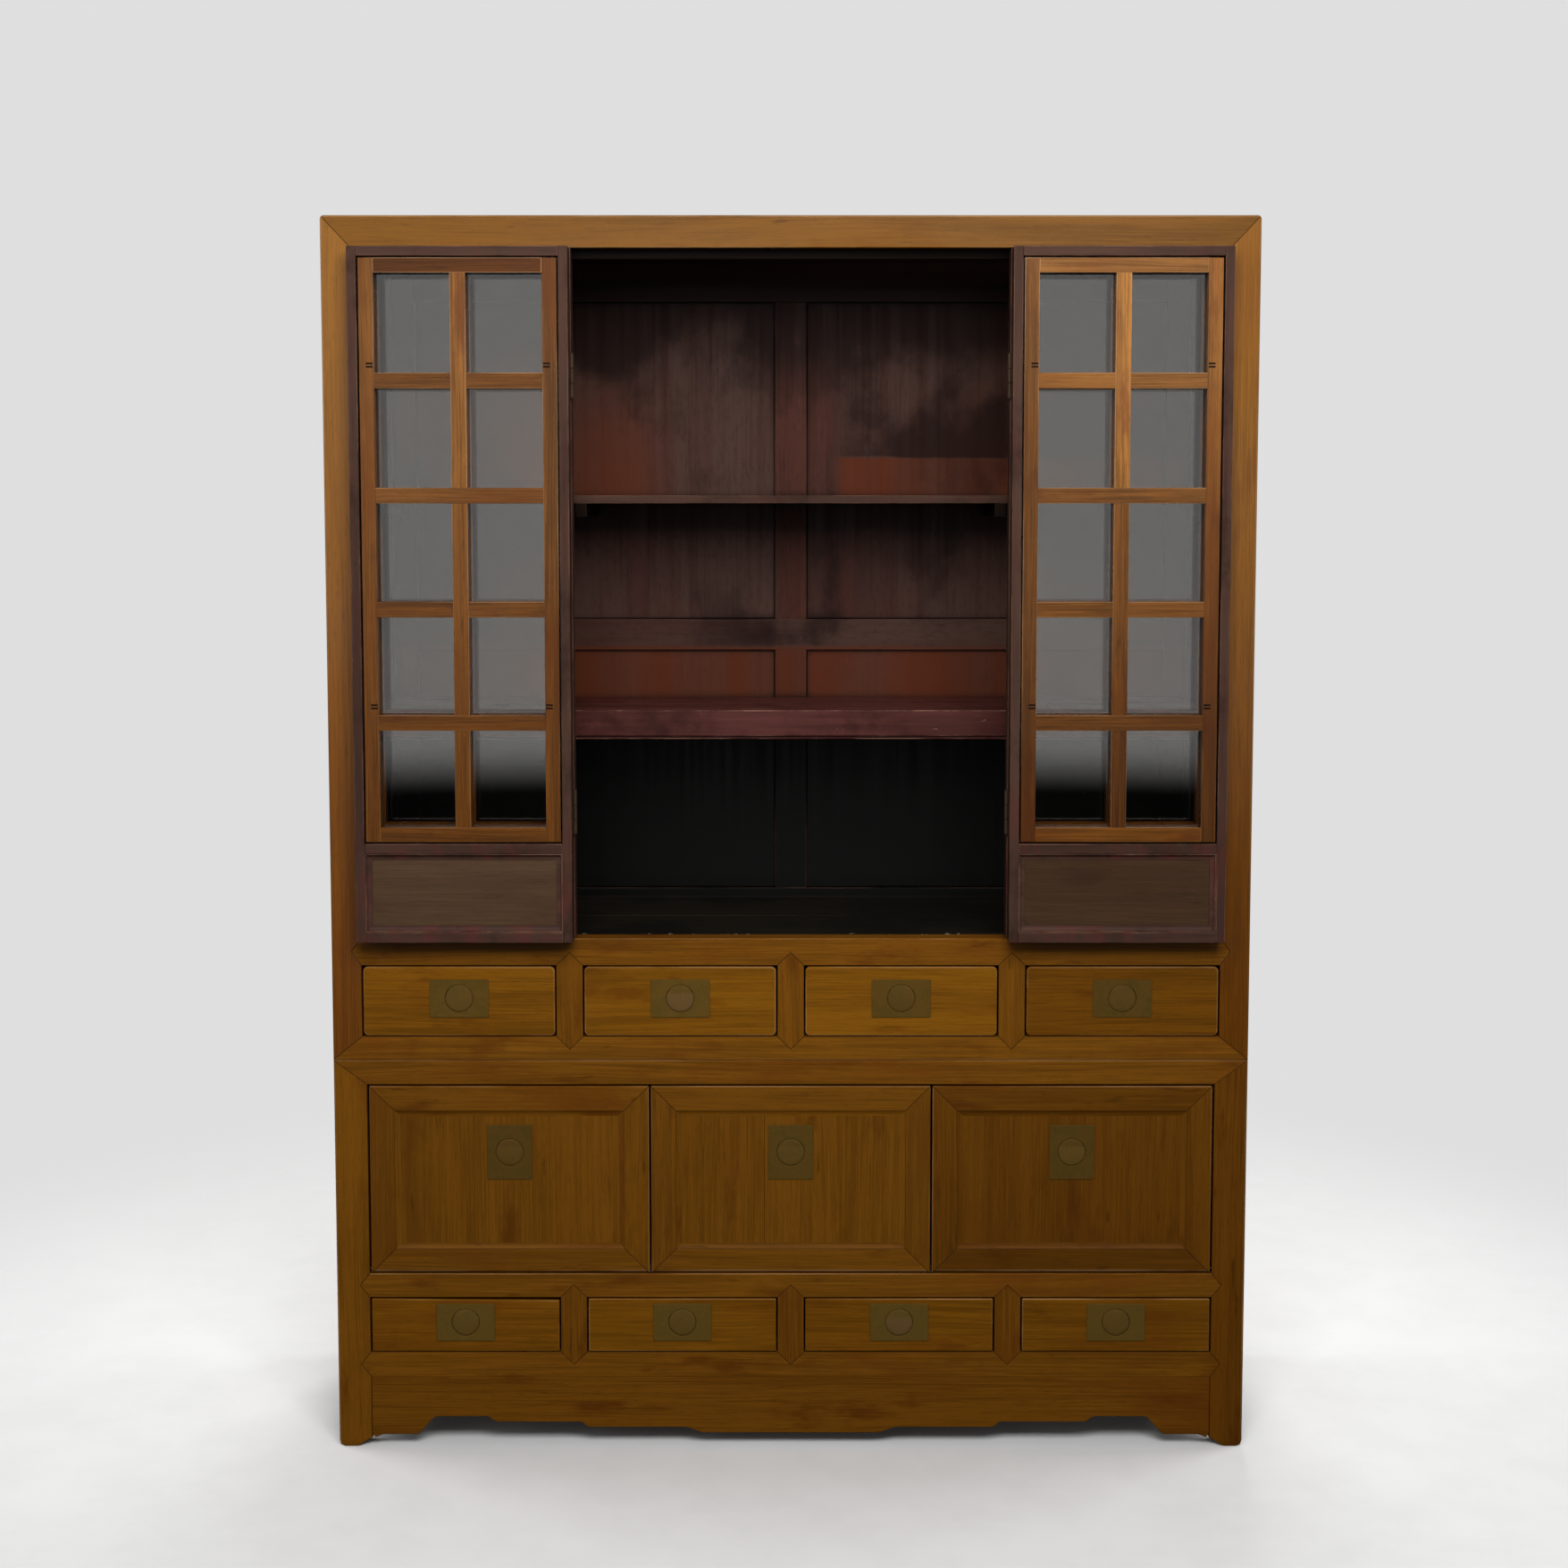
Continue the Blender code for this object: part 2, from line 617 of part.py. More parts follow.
def upper_top(front):
    y1 = BACK_Y - SEAT
    z1 = HEIGHT - TOP_DROP
    z0 = z1 - TOP_T
    foot = Z_BOOK_TOP - STOP_H
    stop = max(BEHIND, LEAF_T + SEAT)
    profile = [(BEHIND, z1), (y1, z1), (y1, z0), (stop + STOP_T, z0), (stop + STOP_T, foot), (stop, foot)]
    profile += [(stop, Z_BOOK_TOP), (BEHIND, Z_BOOK_TOP)] if stop > BEHIND else []
    place(cross_board("upper_top", profile), "panel_wood", front)


def lower_top(front):
    y1 = BACK_Y - SEAT
    z1 = LOWER_HEIGHT - TOP_DROP
    z0 = z1 - TOP_T
    rail = Z_DOOR_TOP - SEAT
    foot = rail - STOP_H
    stop = DOOR_T + SEAT
    profile = [(BEHIND, z1), (y1, z1), (y1, z0), (BEHIND + STOP_T, z0), (BEHIND + STOP_T, foot)]
    profile += [(stop, foot), (stop, rail), (BEHIND, rail)]
    obj = cross_board("lower_top", profile)
    notches = []
    for side in (-1, 1):
        x0, x1 = sorted((side * (LOWER_OPEN - SEAT), side * HALF))
        notches.append(box((x0, 0.0, foot - BITE), (x1, BEHIND + BITE, rail + BITE)))
    combine(obj, "DIFFERENCE", notches)
    place(obj, "panel_wood", front)


def floor_board(front, name, finish, top):
    low = (-INSIDE, BEHIND, top - FLOOR_T)
    place(solid(name, box(low, (INSIDE, BACK_Y - SEAT, top))), finish, front)


def drawer_deck(front, name, half_span, top):
    """The board that a row of drawers runs on, with a guide strip beside each drawer."""
    edges = []
    for x0, x1 in bays(half_span):
        edges += [x0 + GUIDE_GAP, x1 - GUIDE_GAP]
    profile = [(-INSIDE, top - DECK_T), (INSIDE, top - DECK_T), (INSIDE, top + GUIDE_H)]
    for i, x in enumerate(reversed(edges)):
        heights = (top + GUIDE_H, top) if i % 2 == 0 else (top, top + GUIDE_H)
        profile += [(x, heights[0]), (x, heights[1])]
    profile.append((-INSIDE, top + GUIDE_H))
    bm = prism("Y", profile, BEHIND, BACK_Y - SEAT)
    place(solid(name, bm), "panel_wood", front)


def upper_shelf(front):
    """A thin shelf stiffened by two cross battens."""
    under = UPPER_SHELF_Z - UPPER_SHELF_T
    profile = [(INSIDE, under), (INSIDE, UPPER_SHELF_Z), (-INSIDE, UPPER_SHELF_Z), (-INSIDE, under)]
    for x in (-BATTEN_X, BATTEN_X):
        x0, x1 = x - BATTEN_W / 2, x + BATTEN_W / 2
        profile += [(x0, under), (x0, under - BATTEN_H), (x1, under - BATTEN_H), (x1, under)]
    bm = prism("Y", profile, SHELF_SET, BACK_Y - SEAT)
    place(solid("upper_shelf", bm), "dark_lacquer", front)


def lower_shelf(front):
    """A shelf with a deep front rail and a bead along the rail's foot."""
    under = LOWER_SHELF_Z - LOWER_SHELF_T
    foot = LOWER_SHELF_Z - SHELF_RAIL_H
    inner = SHELF_SET + SHELF_RAIL_T
    bead = SHELF_SET + SHELF_BEAD
    end = BACK_Y - SEAT
    profile = [(SHELF_SET, LOWER_SHELF_Z), (end, LOWER_SHELF_Z), (end, under), (inner, under)]
    profile += [(inner, foot - SHELF_BEAD), (bead, foot - SHELF_BEAD), (bead, foot), (SHELF_SET, foot)]
    place(cross_board("lower_shelf", profile), "red_lacquer", front)


# Drawers, doors and their pulls
def pull(owner, name, margin, location):
    """A brass plate with a flush disc that turns on a rod across its upper part.

    Two ears behind the plate hold the rod's ends.
    """
    face = -SEAT
    wide, tall = DISC_HOLE_R + margin[0], DISC_HOLE_R + margin[1]
    plate_outline = rounded(-wide, wide, -tall, tall, PLATE_CORNER, 2)
    hole = circle(DISC_HOLE_R, DISC_STEPS)
    plate = solid(name + "_plate", prism("Y", plate_outline, face - PLATE_T, face, [hole]))
    chord = DISC_CHORD * DISC_R
    ear_start = math.sqrt(DISC_R**2 - chord**2) + EAR_FROM_DISC
    ear_end = ear_start + EAR_W
    bore_r = ROD_R + ROD_GAP
    reach = bore_r + EAR_WALL
    ear = rectangle(face - BITE, ROD_R + reach, chord - reach, chord + reach)
    bore = circle(bore_r, PIN_STEPS, ROD_R, chord)
    ears = [prism("X", ear, *sorted((s * ear_start, s * ear_end)), [bore]) for s in (-1, 1)]
    combine(plate, "UNION", ears)
    place(plate, "bronze_brass", owner, location)
    disc_bm = prism("Y", circle(DISC_R, DISC_STEPS, 0.0, -chord), face - PLATE_T - ROD_R, BITE - ROD_R)
    ease(disc_bm, lambda co: co.y < face - PLATE_T - ROD_R + 1e-6, PLATE_T / 4, 1)
    disc = solid(name + "_disc", disc_bm)
    rod = prism("X", circle(ROD_R, PIN_STEPS), -ear_end, ear_end)
    combine(disc, "UNION", [rod])
    place(disc, "bronze_brass", plate, (0, ROD_R, chord), smooth=True)


def dish(y, z, thick):
    """The hollow behind a disc, cut into a front that starts at y and is so thick."""
    return prism("Y", circle(DISH_R, DISC_STEPS, 0.0, z), y - CUT_OVER, y + thick - DISH_FLOOR)


def drawer(front, name, bay, z0, opening):
    width = bay[1] - bay[0] - 2 * DRAWER_GAP
    top = opening - DRAWER_GAP
    outline = rounded(-width / 2, width / 2, DRAWER_LIFT, top, DRAWER_CORNER)
    bm = prism("Y", outline, 0.0, DRAWER_FRONT_T)
    ease(bm, lambda co: co.y < 1e-6, DRAWER_ARRIS)
    obj = solid(name, bm)
    half = width / 2 - TRAY_INSET
    inner = half - TRAY_SIDE_T
    rim = top - TRAY_DROP
    floor0, floor1 = TRAY_FLOOR_Z, TRAY_FLOOR_Z + TRAY_FLOOR_T
    right = [(inner, floor0), (inner, SEAT), (half, SEAT), (half, rim), (inner, rim), (inner, floor1)]
    tray = right + [(-x, z) for x, z in right[::-1]]
    start = DRAWER_FRONT_T - 6 * BITE
    back = DRAWER_L - BITE
    low = (-half + BITE, back - TRAY_BACK_T, floor0 + BITE)
    wall = box(low, (half - BITE, back, rim - 4 * BITE))
    combine(obj, "UNION", [prism("Y", tray, start, DRAWER_L), wall])
    plate_z = (DRAWER_LIFT + top) / 2 + PLATE_RISE
    combine(obj, "DIFFERENCE", [dish(0.0, plate_z, DRAWER_FRONT_T)])
    place(obj, "drawer_wood", front, ((bay[0] + bay[1]) / 2, 0, z0))
    pull(obj, name, DRAWER_PLATE_MARGIN, (0, 0, plate_z))


def drawer_row(front, prefix, half_span, z0, opening):
    for i, bay in enumerate(bays(half_span)):
        drawer(front, f"{prefix}_drawer_{i + 1}", bay, z0, opening)


def lower_door(front, index, x):
    """A framed door that turns out on two pins at its foot. Its origin is on the pins' axis."""
    name = f"lower_door_{index}"
    half = DOOR_W / 2
    face, back = -PIVOT_IN, DOOR_T - PIVOT_IN
    foot, top = -PIVOT_IN, DOOR_H - PIVOT_IN
    turns = [math.pi * (1 + i / 8) for i in range(5)]
    heel = [(PIVOT_IN * math.cos(t), PIVOT_IN * math.sin(t)) for t in turns]
    profile = heel + [(back, foot), (back, top), (face, top)]
    obj = solid(name, prism("X", profile, -half, half))
    field = (-half + DOOR_MEMBER, half - DOOR_MEMBER, foot + DOOR_MEMBER, top - DOOR_MEMBER)
    cuts = [frustum("Y", face, 1, field, DOOR_RECESS, DOOR_SLOPE)]
    cuts.append(frustum("Y", back, -1, field, DOOR_RECESS, DOOR_SLOPE))
    bore = circle(BORE_R, PIN_STEPS)
    cuts += [prism("X", bore, -half - BORE_L, -half + BORE_L), prism("X", bore, half - BORE_L, half + BORE_L)]
    plate_z = top - DOOR_PLATE_DROP
    seat = face + DOOR_RECESS
    cuts.append(dish(seat, plate_z, DOOR_T - 2 * DOOR_RECESS))
    combine(obj, "DIFFERENCE", cuts)
    lines = door_mitres(half, foot, top)
    grooves = merged([joint_line(line) for line in lines])
    bmesh.ops.translate(grooves, verts=grooves.verts[:], vec=(0, face, 0))
    combine(obj, "DIFFERENCE", [grooves])
    place(obj, "panel_wood", front, (x, PIVOT_IN, pivot_z()))
    pull(obj, name, DOOR_PLATE_MARGIN, (0, seat, plate_z))


def door_mitres(half, foot, top):
    lines = []
    for side in (-1, 1):
        outer, inner = side * half, side * (half - DOOR_MEMBER)
        lines.append([(outer, top), (inner, top - DOOR_MEMBER)])
        lines.append([(outer, foot), (inner, foot + DOOR_MEMBER)])
    return lines


# Glazed leaves, each drawn shut, with its joint edge on the z axis and growing along +x or -x
def knuckles(out, middle):
    """Half of each leaf-joint hinge: the outer knuckles with the pin, or the middle one with its bore."""
    third = HINGE_L / 3
    shapes = []
    flap = sorted((out * SEAT, out * (LEAF_GAP / 2 + BITE)))
    for height in HINGE_Z:
        low, high = height - HINGE_L / 2, height + HINGE_L / 2
        ends = [(low, low + third - SEAT), (high - third + SEAT, high)]
        for z0, z1 in [(low + third, high - third)] if middle else ends:
            hole = [circle(HINGE_BORE_R, KNUCKLE_STEPS)] if middle else []
            shapes.append(prism("Z", circle(KNUCKLE_R, KNUCKLE_STEPS), z0, z1, hole))
            reach = HINGE_BORE_R + BITE if middle else 0.0
            shapes.append(box((flap[0], reach, z0), (flap[1], HINGE_PROUD + FLAP_D, z1)))
        if not middle:
            shapes.append(prism("Z", circle(HINGE_PIN_R, PIN_STEPS), low + BITE, high - BITE))
    return shapes


def leaf_span(out, inset):
    """Left and right edges of a leaf that grows along out from its joint, drawn in by inset."""
    return sorted((out * (LEAF_GAP / 2 + inset), out * (LEAF_GAP / 2 + LEAF_W - inset)))


def leaf_frame(name, out, middle):
    """Stiles, rails and sunk bottom panel, with a rebate for the sash and half of the hinges.

    An inner leaf has the hinges' middle knuckles and swings clear. An outer one is fixed in its opening.
    """
    y0, y1 = HINGE_PROUD, HINGE_PROUD + LEAF_T
    fill = 0.0 if middle else LEAF_GAP - SEAT
    x0, x1 = sorted((out * LEAF_GAP / 2, out * (LEAF_GAP / 2 + LEAF_W + fill)))
    window = rectangle(*leaf_span(out, LEAF_STILE + LEAF_LIP), SASH_Z[0] + LEAF_LIP, SASH_Z[1] - LEAF_LIP)
    obj = solid(name, prism("Y", rectangle(x0, x1, -fill, LEAF_H + fill), y0, y1, [window]))
    left, right = leaf_span(out, LEAF_STILE)
    rebate = box((left, y0 + LEAF_LIP_T, SASH_Z[0]), (right, y1 + CUT_OVER, SASH_Z[1]))
    field = (left, right, *PANEL_Z)
    cuts = [rebate, frustum("Y", y0, 1, field, PANEL_RECESS, PANEL_SLOPE)]
    cuts.append(frustum("Y", y1, -1, field, PANEL_RECESS, PANEL_SLOPE))
    combine(obj, "DIFFERENCE", cuts)
    combine(obj, "UNION", knuckles(out, middle))
    return obj


def sash(out, gap):
    """The lattice that holds the glass in the rebate, as one shape."""
    y0 = HINGE_PROUD + LEAF_LIP_T + GLASS_T + 2 * SEAT
    y1 = HINGE_PROUD + LEAF_T - SASH_SET
    left, right = leaf_span(out, LEAF_STILE + gap)
    low, high = SASH_Z[0] + gap, SASH_Z[1] - gap
    wide = (right - left - 2 * SASH_STILE - (PANE_COLUMNS - 1) * SASH_BAR) / PANE_COLUMNS
    tall = (high - low - 2 * SASH_STILE - (PANE_ROWS - 1) * SASH_BAR) / PANE_ROWS
    panes = []
    for column in range(PANE_COLUMNS):
        x = left + SASH_STILE + column * (wide + SASH_BAR)
        for row in range(PANE_ROWS):
            z = low + SASH_STILE + row * (tall + SASH_BAR)
            panes.append(rectangle(x, x + wide, z, z + tall))
    return prism("Y", rectangle(left, right, low, high), y0, y1, panes)


def glass(name, out):
    y0 = HINGE_PROUD + LEAF_LIP_T + SEAT
    left, right = leaf_span(out, LEAF_STILE + SASH_GAP)
    low, high = SASH_Z[0] + SASH_GAP, SASH_Z[1] - SASH_GAP
    return solid(name, box((left, y0, low), (right, y0 + GLASS_T, high)))


def leaves(front, side, out):
    """One outer leaf, fixed in the opening, and the inner leaf that folds on it. out is -1 left, +1 right."""
    joint = empty(f"{side}_leaf_joint", front, (out * LEAF_JOINT, -HINGE_PROUD, LEAF_FOOT))
    frame = leaf_frame(f"{side}_outer_leaf", out, middle=False)
    combine(frame, "UNION", [sash(out, -BITE)])
    place(frame, "dark_lacquer", joint)
    place(glass(f"{side}_outer_glass", out), "window_glass", joint)
    inner = leaf_frame(f"{side}_inner_leaf", -out, middle=True)
    place(inner, "dark_lacquer", joint, turn=math.pi)
    lattice = solid(f"{side}_inner_sash", sash(-out, SASH_GAP))
    place(lattice, "lattice_wood", inner)
    place(glass(f"{side}_inner_glass", -out), "window_glass", inner)


def build():
    front = empty("front_plane", None, (0, Y_FRONT, 0))
    upper_face_frame(front)
    lower_face_frame(front)
    apron(front)
    for side, out in (("left", -1), ("right", 1)):
        upper_side(front, f"upper_side_{side}", out)
        lower_side(front, f"lower_side_{side}", out)
        leaves(front, side, out)
    upper_back(front)
    lower_back(front)
    upper_top(front)
    lower_top(front)
    floor_board(front, "book_floor", "black_lacquer", Z_BOOK)
    floor_board(front, "lower_floor", "panel_wood", Z_DOOR)
    drawer_deck(front, "upper_drawer_deck", UPPER_OPEN, Z_UPPER_DRAWER)
    drawer_deck(front, "lower_drawer_deck", LOWER_OPEN, Z_LOWER_DRAWER)
    upper_shelf(front)
    lower_shelf(front)
    drawer_row(front, "upper", UPPER_OPEN, Z_UPPER_DRAWER, UPPER_DRAWER_H)
    drawer_row(front, "lower", LOWER_OPEN, Z_LOWER_DRAWER, LOWER_DRAWER_H)
    for i, x in enumerate(door_places()):
        lower_door(front, i + 1, x)


for item in list(bpy.data.objects):
    bpy.data.objects.remove(item)
MATERIALS = {name: make_material(name, *look) for name, look in FINISHES.items()}
build()
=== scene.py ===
"""Looks of the two-part library cabinet: joined boards, lacquer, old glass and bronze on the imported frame.

The file is laid out as an add-on. Each operator makes one group of pieces, in metres and in the frame's own
axes: +X to the right, +Y to the back, +Z up. Every board remembers its own grain, so a stile and a rail that
meet at a mitre each run their own way.
"""

import json
import math
import random

import bmesh
import bpy
from bpy.props import FloatProperty, FloatVectorProperty, IntProperty, PointerProperty
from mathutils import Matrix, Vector


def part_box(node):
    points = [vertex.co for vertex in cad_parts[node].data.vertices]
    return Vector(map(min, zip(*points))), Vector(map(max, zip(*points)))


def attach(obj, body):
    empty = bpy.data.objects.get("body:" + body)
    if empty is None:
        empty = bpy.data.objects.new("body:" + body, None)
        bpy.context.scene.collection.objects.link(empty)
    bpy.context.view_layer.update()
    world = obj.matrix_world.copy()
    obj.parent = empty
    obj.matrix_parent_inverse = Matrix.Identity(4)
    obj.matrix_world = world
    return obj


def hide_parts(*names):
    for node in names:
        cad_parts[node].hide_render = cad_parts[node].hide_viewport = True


bl_info = {
    "name": "Library cabinet looks",
    "version": (1, 0, 0),
    "blender": (4, 5, 0),
    "location": "View3D > Sidebar > Cabinet",
    "description": "Dresses the packed library cabinet in boards, lacquer, glass and bronze",
    "category": "Object",
}

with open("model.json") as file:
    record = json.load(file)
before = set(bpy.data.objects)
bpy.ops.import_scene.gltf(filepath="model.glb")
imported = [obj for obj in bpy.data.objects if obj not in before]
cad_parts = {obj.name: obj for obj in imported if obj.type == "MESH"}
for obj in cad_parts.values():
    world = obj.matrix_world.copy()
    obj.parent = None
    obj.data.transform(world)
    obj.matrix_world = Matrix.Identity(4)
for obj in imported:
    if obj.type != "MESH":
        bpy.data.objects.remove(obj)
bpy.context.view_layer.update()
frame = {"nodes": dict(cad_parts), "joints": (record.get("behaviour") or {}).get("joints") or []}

# Places read from the frame
UPPER_LOW, UPPER_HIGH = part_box("upper_face_frame")
LOWER_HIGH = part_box("lower_face_frame")[1]
HALF = UPPER_HIGH.x
FACE = UPPER_LOW.y
FRAME_BACK = UPPER_HIGH.y
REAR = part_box("upper_side_left")[1].y
SIDE_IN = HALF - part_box("upper_side_right")[0].x
BACK_FACE, BACK_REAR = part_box("upper_back")[0].y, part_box("upper_back")[1].y
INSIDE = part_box("upper_back")[1].x
APRON_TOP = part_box("apron")[1].z
LOWER_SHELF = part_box("lower_shelf")[1].z
UPPER_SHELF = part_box("upper_shelf")[1].z
LEAF_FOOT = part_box("left_inner_leaf")[0].z
LEAF_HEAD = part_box("left_inner_leaf")[1].z
JOINT = {j["name"]: Vector(j["pos_m"]) for j in frame["joints"] if "pos_m" in j}
SEAT = 0.0003

SIDES = (("left", -1), ("right", 1))
ROWS = ("upper", "lower")


def length(name, text, value):
    return FloatProperty(name=name, description=text, default=value, unit="LENGTH")


def colour(name, text, value):
    settings = {"default": value, "subtype": "COLOR", "size": 3, "min": 0.0, "max": 1.0}
    return FloatVectorProperty(name=name, description=text, **settings)


class CabinetSizes(bpy.types.PropertyGroup):
    """Sizes of the boards that the joinery is made of."""

    stile: length("Stile", "Width of an upper stile", 0.048)
    leg: length("Leg", "Width of a leg of the lower case", 0.054)
    divider: length("Divider", "Width of a drawer divider", 0.043)
    top_rail: length("Top rail", "Height of the top rail", 0.051)
    mid_rail: length("Middle rail", "Rail over the drawers", 0.044)
    upper_row: length("Upper drawers", "Height of their opening", 0.117)
    foot_rail: length("Foot rail", "Rail under the upper drawers", 0.039)
    lower_top: length("Lower top rail", "Rail over the doors", 0.040)
    lower_mid: length("Lower middle rail", "Rail under the doors", 0.040)
    lower_row: length("Lower drawers", "Height of their opening", 0.092)
    lower_foot: length("Lower foot rail", "Rail over the apron", 0.041)
    dart: length("Dart", "Reach of a divider's point", 0.021)
    point: length("Point", "Reach of a rail's pointed end", 0.016)
    ease: length("Ease", "Softening of a board's edges", 0.0007)
    rub: length("Rubbed edge", "Rounding of worn edges", 0.0016)
    post_round: length("Post round", "Rounding of outer corners", 0.003)
    door_member: length("Door member", "Width of a door's frame", 0.041)
    leaf_stile: length("Leaf stile", "Width of a leaf's stile", 0.015)
    leaf_lip: length("Leaf lip", "Lip that the glass rests on", 0.014)
    sash_stile: length("Sash stile", "Width of a sash's border", 0.023)
    sash_bar: length("Sash bar", "Width of a lattice bar", 0.0245)
    pane_rows: IntProperty(name="Pane rows", description="Panes above each other", default=5, min=1)
    disc: length("Disc", "Radius of a disc pull", 0.0215)
    disc_gap: length("Disc gap", "Gap around a disc pull", 0.0015)


class CabinetColours(bpy.types.PropertyGroup):
    """Main colour of each finish, in linear light."""

    honey: colour("Honey polish", "Frame and sides of the upper case", (0.168, 0.0655, 0.0056))
    lower: colour("Lower polish", "Frame, sides and apron of the lower case", (0.162, 0.0600, 0.0042))
    drawer: colour("Drawer polish", "Drawer fronts", (0.172, 0.0655, 0.0032))
    panel: colour("Panel polish", "Lower doors", (0.156, 0.0590, 0.0042))
    lattice: colour("Lattice polish", "Sashes of the glazed leaves", (0.122, 0.0485, 0.0100))
    lacquer: colour("Dark lacquer", "Leaf frames and the upper shelf", (0.042, 0.0208, 0.0145))
    leaf_panel: colour("Leaf panel", "Sunk panels of the leaves", (0.066, 0.0360, 0.0185))
    red: colour("Red lacquer", "Inside of the upper case", (0.068, 0.0220, 0.0140))
    shelf: colour("Shelf lacquer", "Front of the lower shelf", (0.047, 0.0132, 0.0108))
    black: colour("Black lacquer", "Inside below the lower shelf", (0.0021, 0.0021, 0.0019))
    raw: colour("Bare wood", "Drawer boxes, decks and rear faces", (0.235, 0.135, 0.062))
    bronze: colour("Bronze", "Plates", (0.150, 0.083, 0.0135))
    disc: colour("Disc bronze", "Disc pulls", (0.148, 0.082, 0.0160))
    brass: colour("Hinge brass", "Hinges and leaf pulls", (0.060, 0.036, 0.020))
    backdrop: colour("Backdrop", "Background behind the cabinet", (0.74, 0.74, 0.74))


def sizes():
    return bpy.context.scene.cabinet_sizes


def colours():
    return bpy.context.scene.cabinet_colours


# Levels and openings
def levels():
    """Heights of the openings, from the frame's foot and head and the rails' sizes."""
    s = sizes()
    z = {"upper_row_low": LOWER_HIGH.z + s.foot_rail}
    z["upper_row_high"] = z["upper_row_low"] + s.upper_row
    z["book_low"] = z["upper_row_high"] + s.mid_rail
    z["book_high"] = UPPER_HIGH.z - s.top_rail
    z["lower_row_low"] = APRON_TOP + SEAT + s.lower_foot
    z["lower_row_high"] = z["lower_row_low"] + s.lower_row
    z["door_low"] = z["lower_row_high"] + s.lower_mid
    z["door_high"] = LOWER_HIGH.z - s.lower_top
    return z


def open_half(row):
    return HALF - (sizes().stile if row == "upper" else sizes().leg)


def dividers(row):
    """Middles of the three dividers of a drawer row."""
    half, wide = open_half(row), sizes().divider
    clear = (2 * half - 3 * wide) / 4
    return [-half + clear * (i + 1) + wide * (i + 0.5) for i in range(3)]


# Outlines
def rectangle(u0, u1, v0, v1):
    return [(u0, v0), (u1, v0), (u1, v1), (u0, v1)]


def circle(radius, steps, u=0.0, v=0.0):
    turns = [2 * math.pi * i / steps for i in range(steps)]
    return [(u + radius * math.cos(t), v + radius * math.sin(t)) for t in turns]


def rounded(u0, u1, v0, v1, radius, steps=6):
    points = []
    corners = ((u1, v0, -1), (u1, v1, 0), (u0, v1, 1), (u0, v0, 2))
    for u, v, quarter in corners:
        cu = u - math.copysign(radius, u - (u0 + u1) / 2)
        cv = v - math.copysign(radius, v - (v0 + v1) / 2)
        for i in range(steps + 1):
            turn = math.pi / 2 * (quarter + i / steps)
            points.append((cu + radius * math.cos(turn), cv + radius * math.sin(turn)))
    return points


def cyma(start, end, steps=10):
    """Points of an S-curve, level at both ends, from start up to, but without, end."""
    points = []
    for i in range(steps):
        t = i / steps
        rise = t * t * (3 - 2 * t)
        points.append((start[0] + (end[0] - start[0]) * t, start[1] + (end[1] - start[1]) * rise))
    return points


def mirrored(points):
    return [(-u, v) for u, v in points]


# Boards
def oriented(axis, along, u, v):
    return {"X": (along, u, v), "Y": (u, along, v), "Z": (u, v, along)}[axis]


AXES = {"X": Vector((1, 0, 0)), "Y": Vector((0, 1, 0)), "Z": Vector((0, 0, 1))}
# How far a board's tone moves its pattern, so that equal bars don't look alike
TONE_SHIFT = Vector((3.1, 1.7, 0.9))
# How far a board's pattern is moved at random along each axis
SHIFT_REACH = 9
# Edges that turn by more are eased, and those that turn by less are smoothed
EASED_OVER = 0.45
SMOOTH_UNDER = math.radians(32)
# Faces across a worn rounding and across an eased edge, and round a thin rod
WORN_STEPS, EASE_STEPS = 4, 2
ROD_STEPS = 16


def bridged(bm, a, b):
    """Faces between two loops of equal length."""
    return [bm.faces.new((a[j - 1], a[j], b[j], b[j - 1])) for j in range(len(a))]


def loop_edges(bm, *loops):
    """The edges of closed loops of corners."""
    return [bm.edges.get((loop[j - 1], loop[j])) for loop in loops for j in range(len(loop))]


def softened(bm, edges, offset, segments):
    """Rounds edges over and gives the new faces."""
    made = bmesh.ops.bevel(bm, geom=edges, offset=offset, segments=segments, profile=0.5, affect="EDGES")
    return made["faces"]


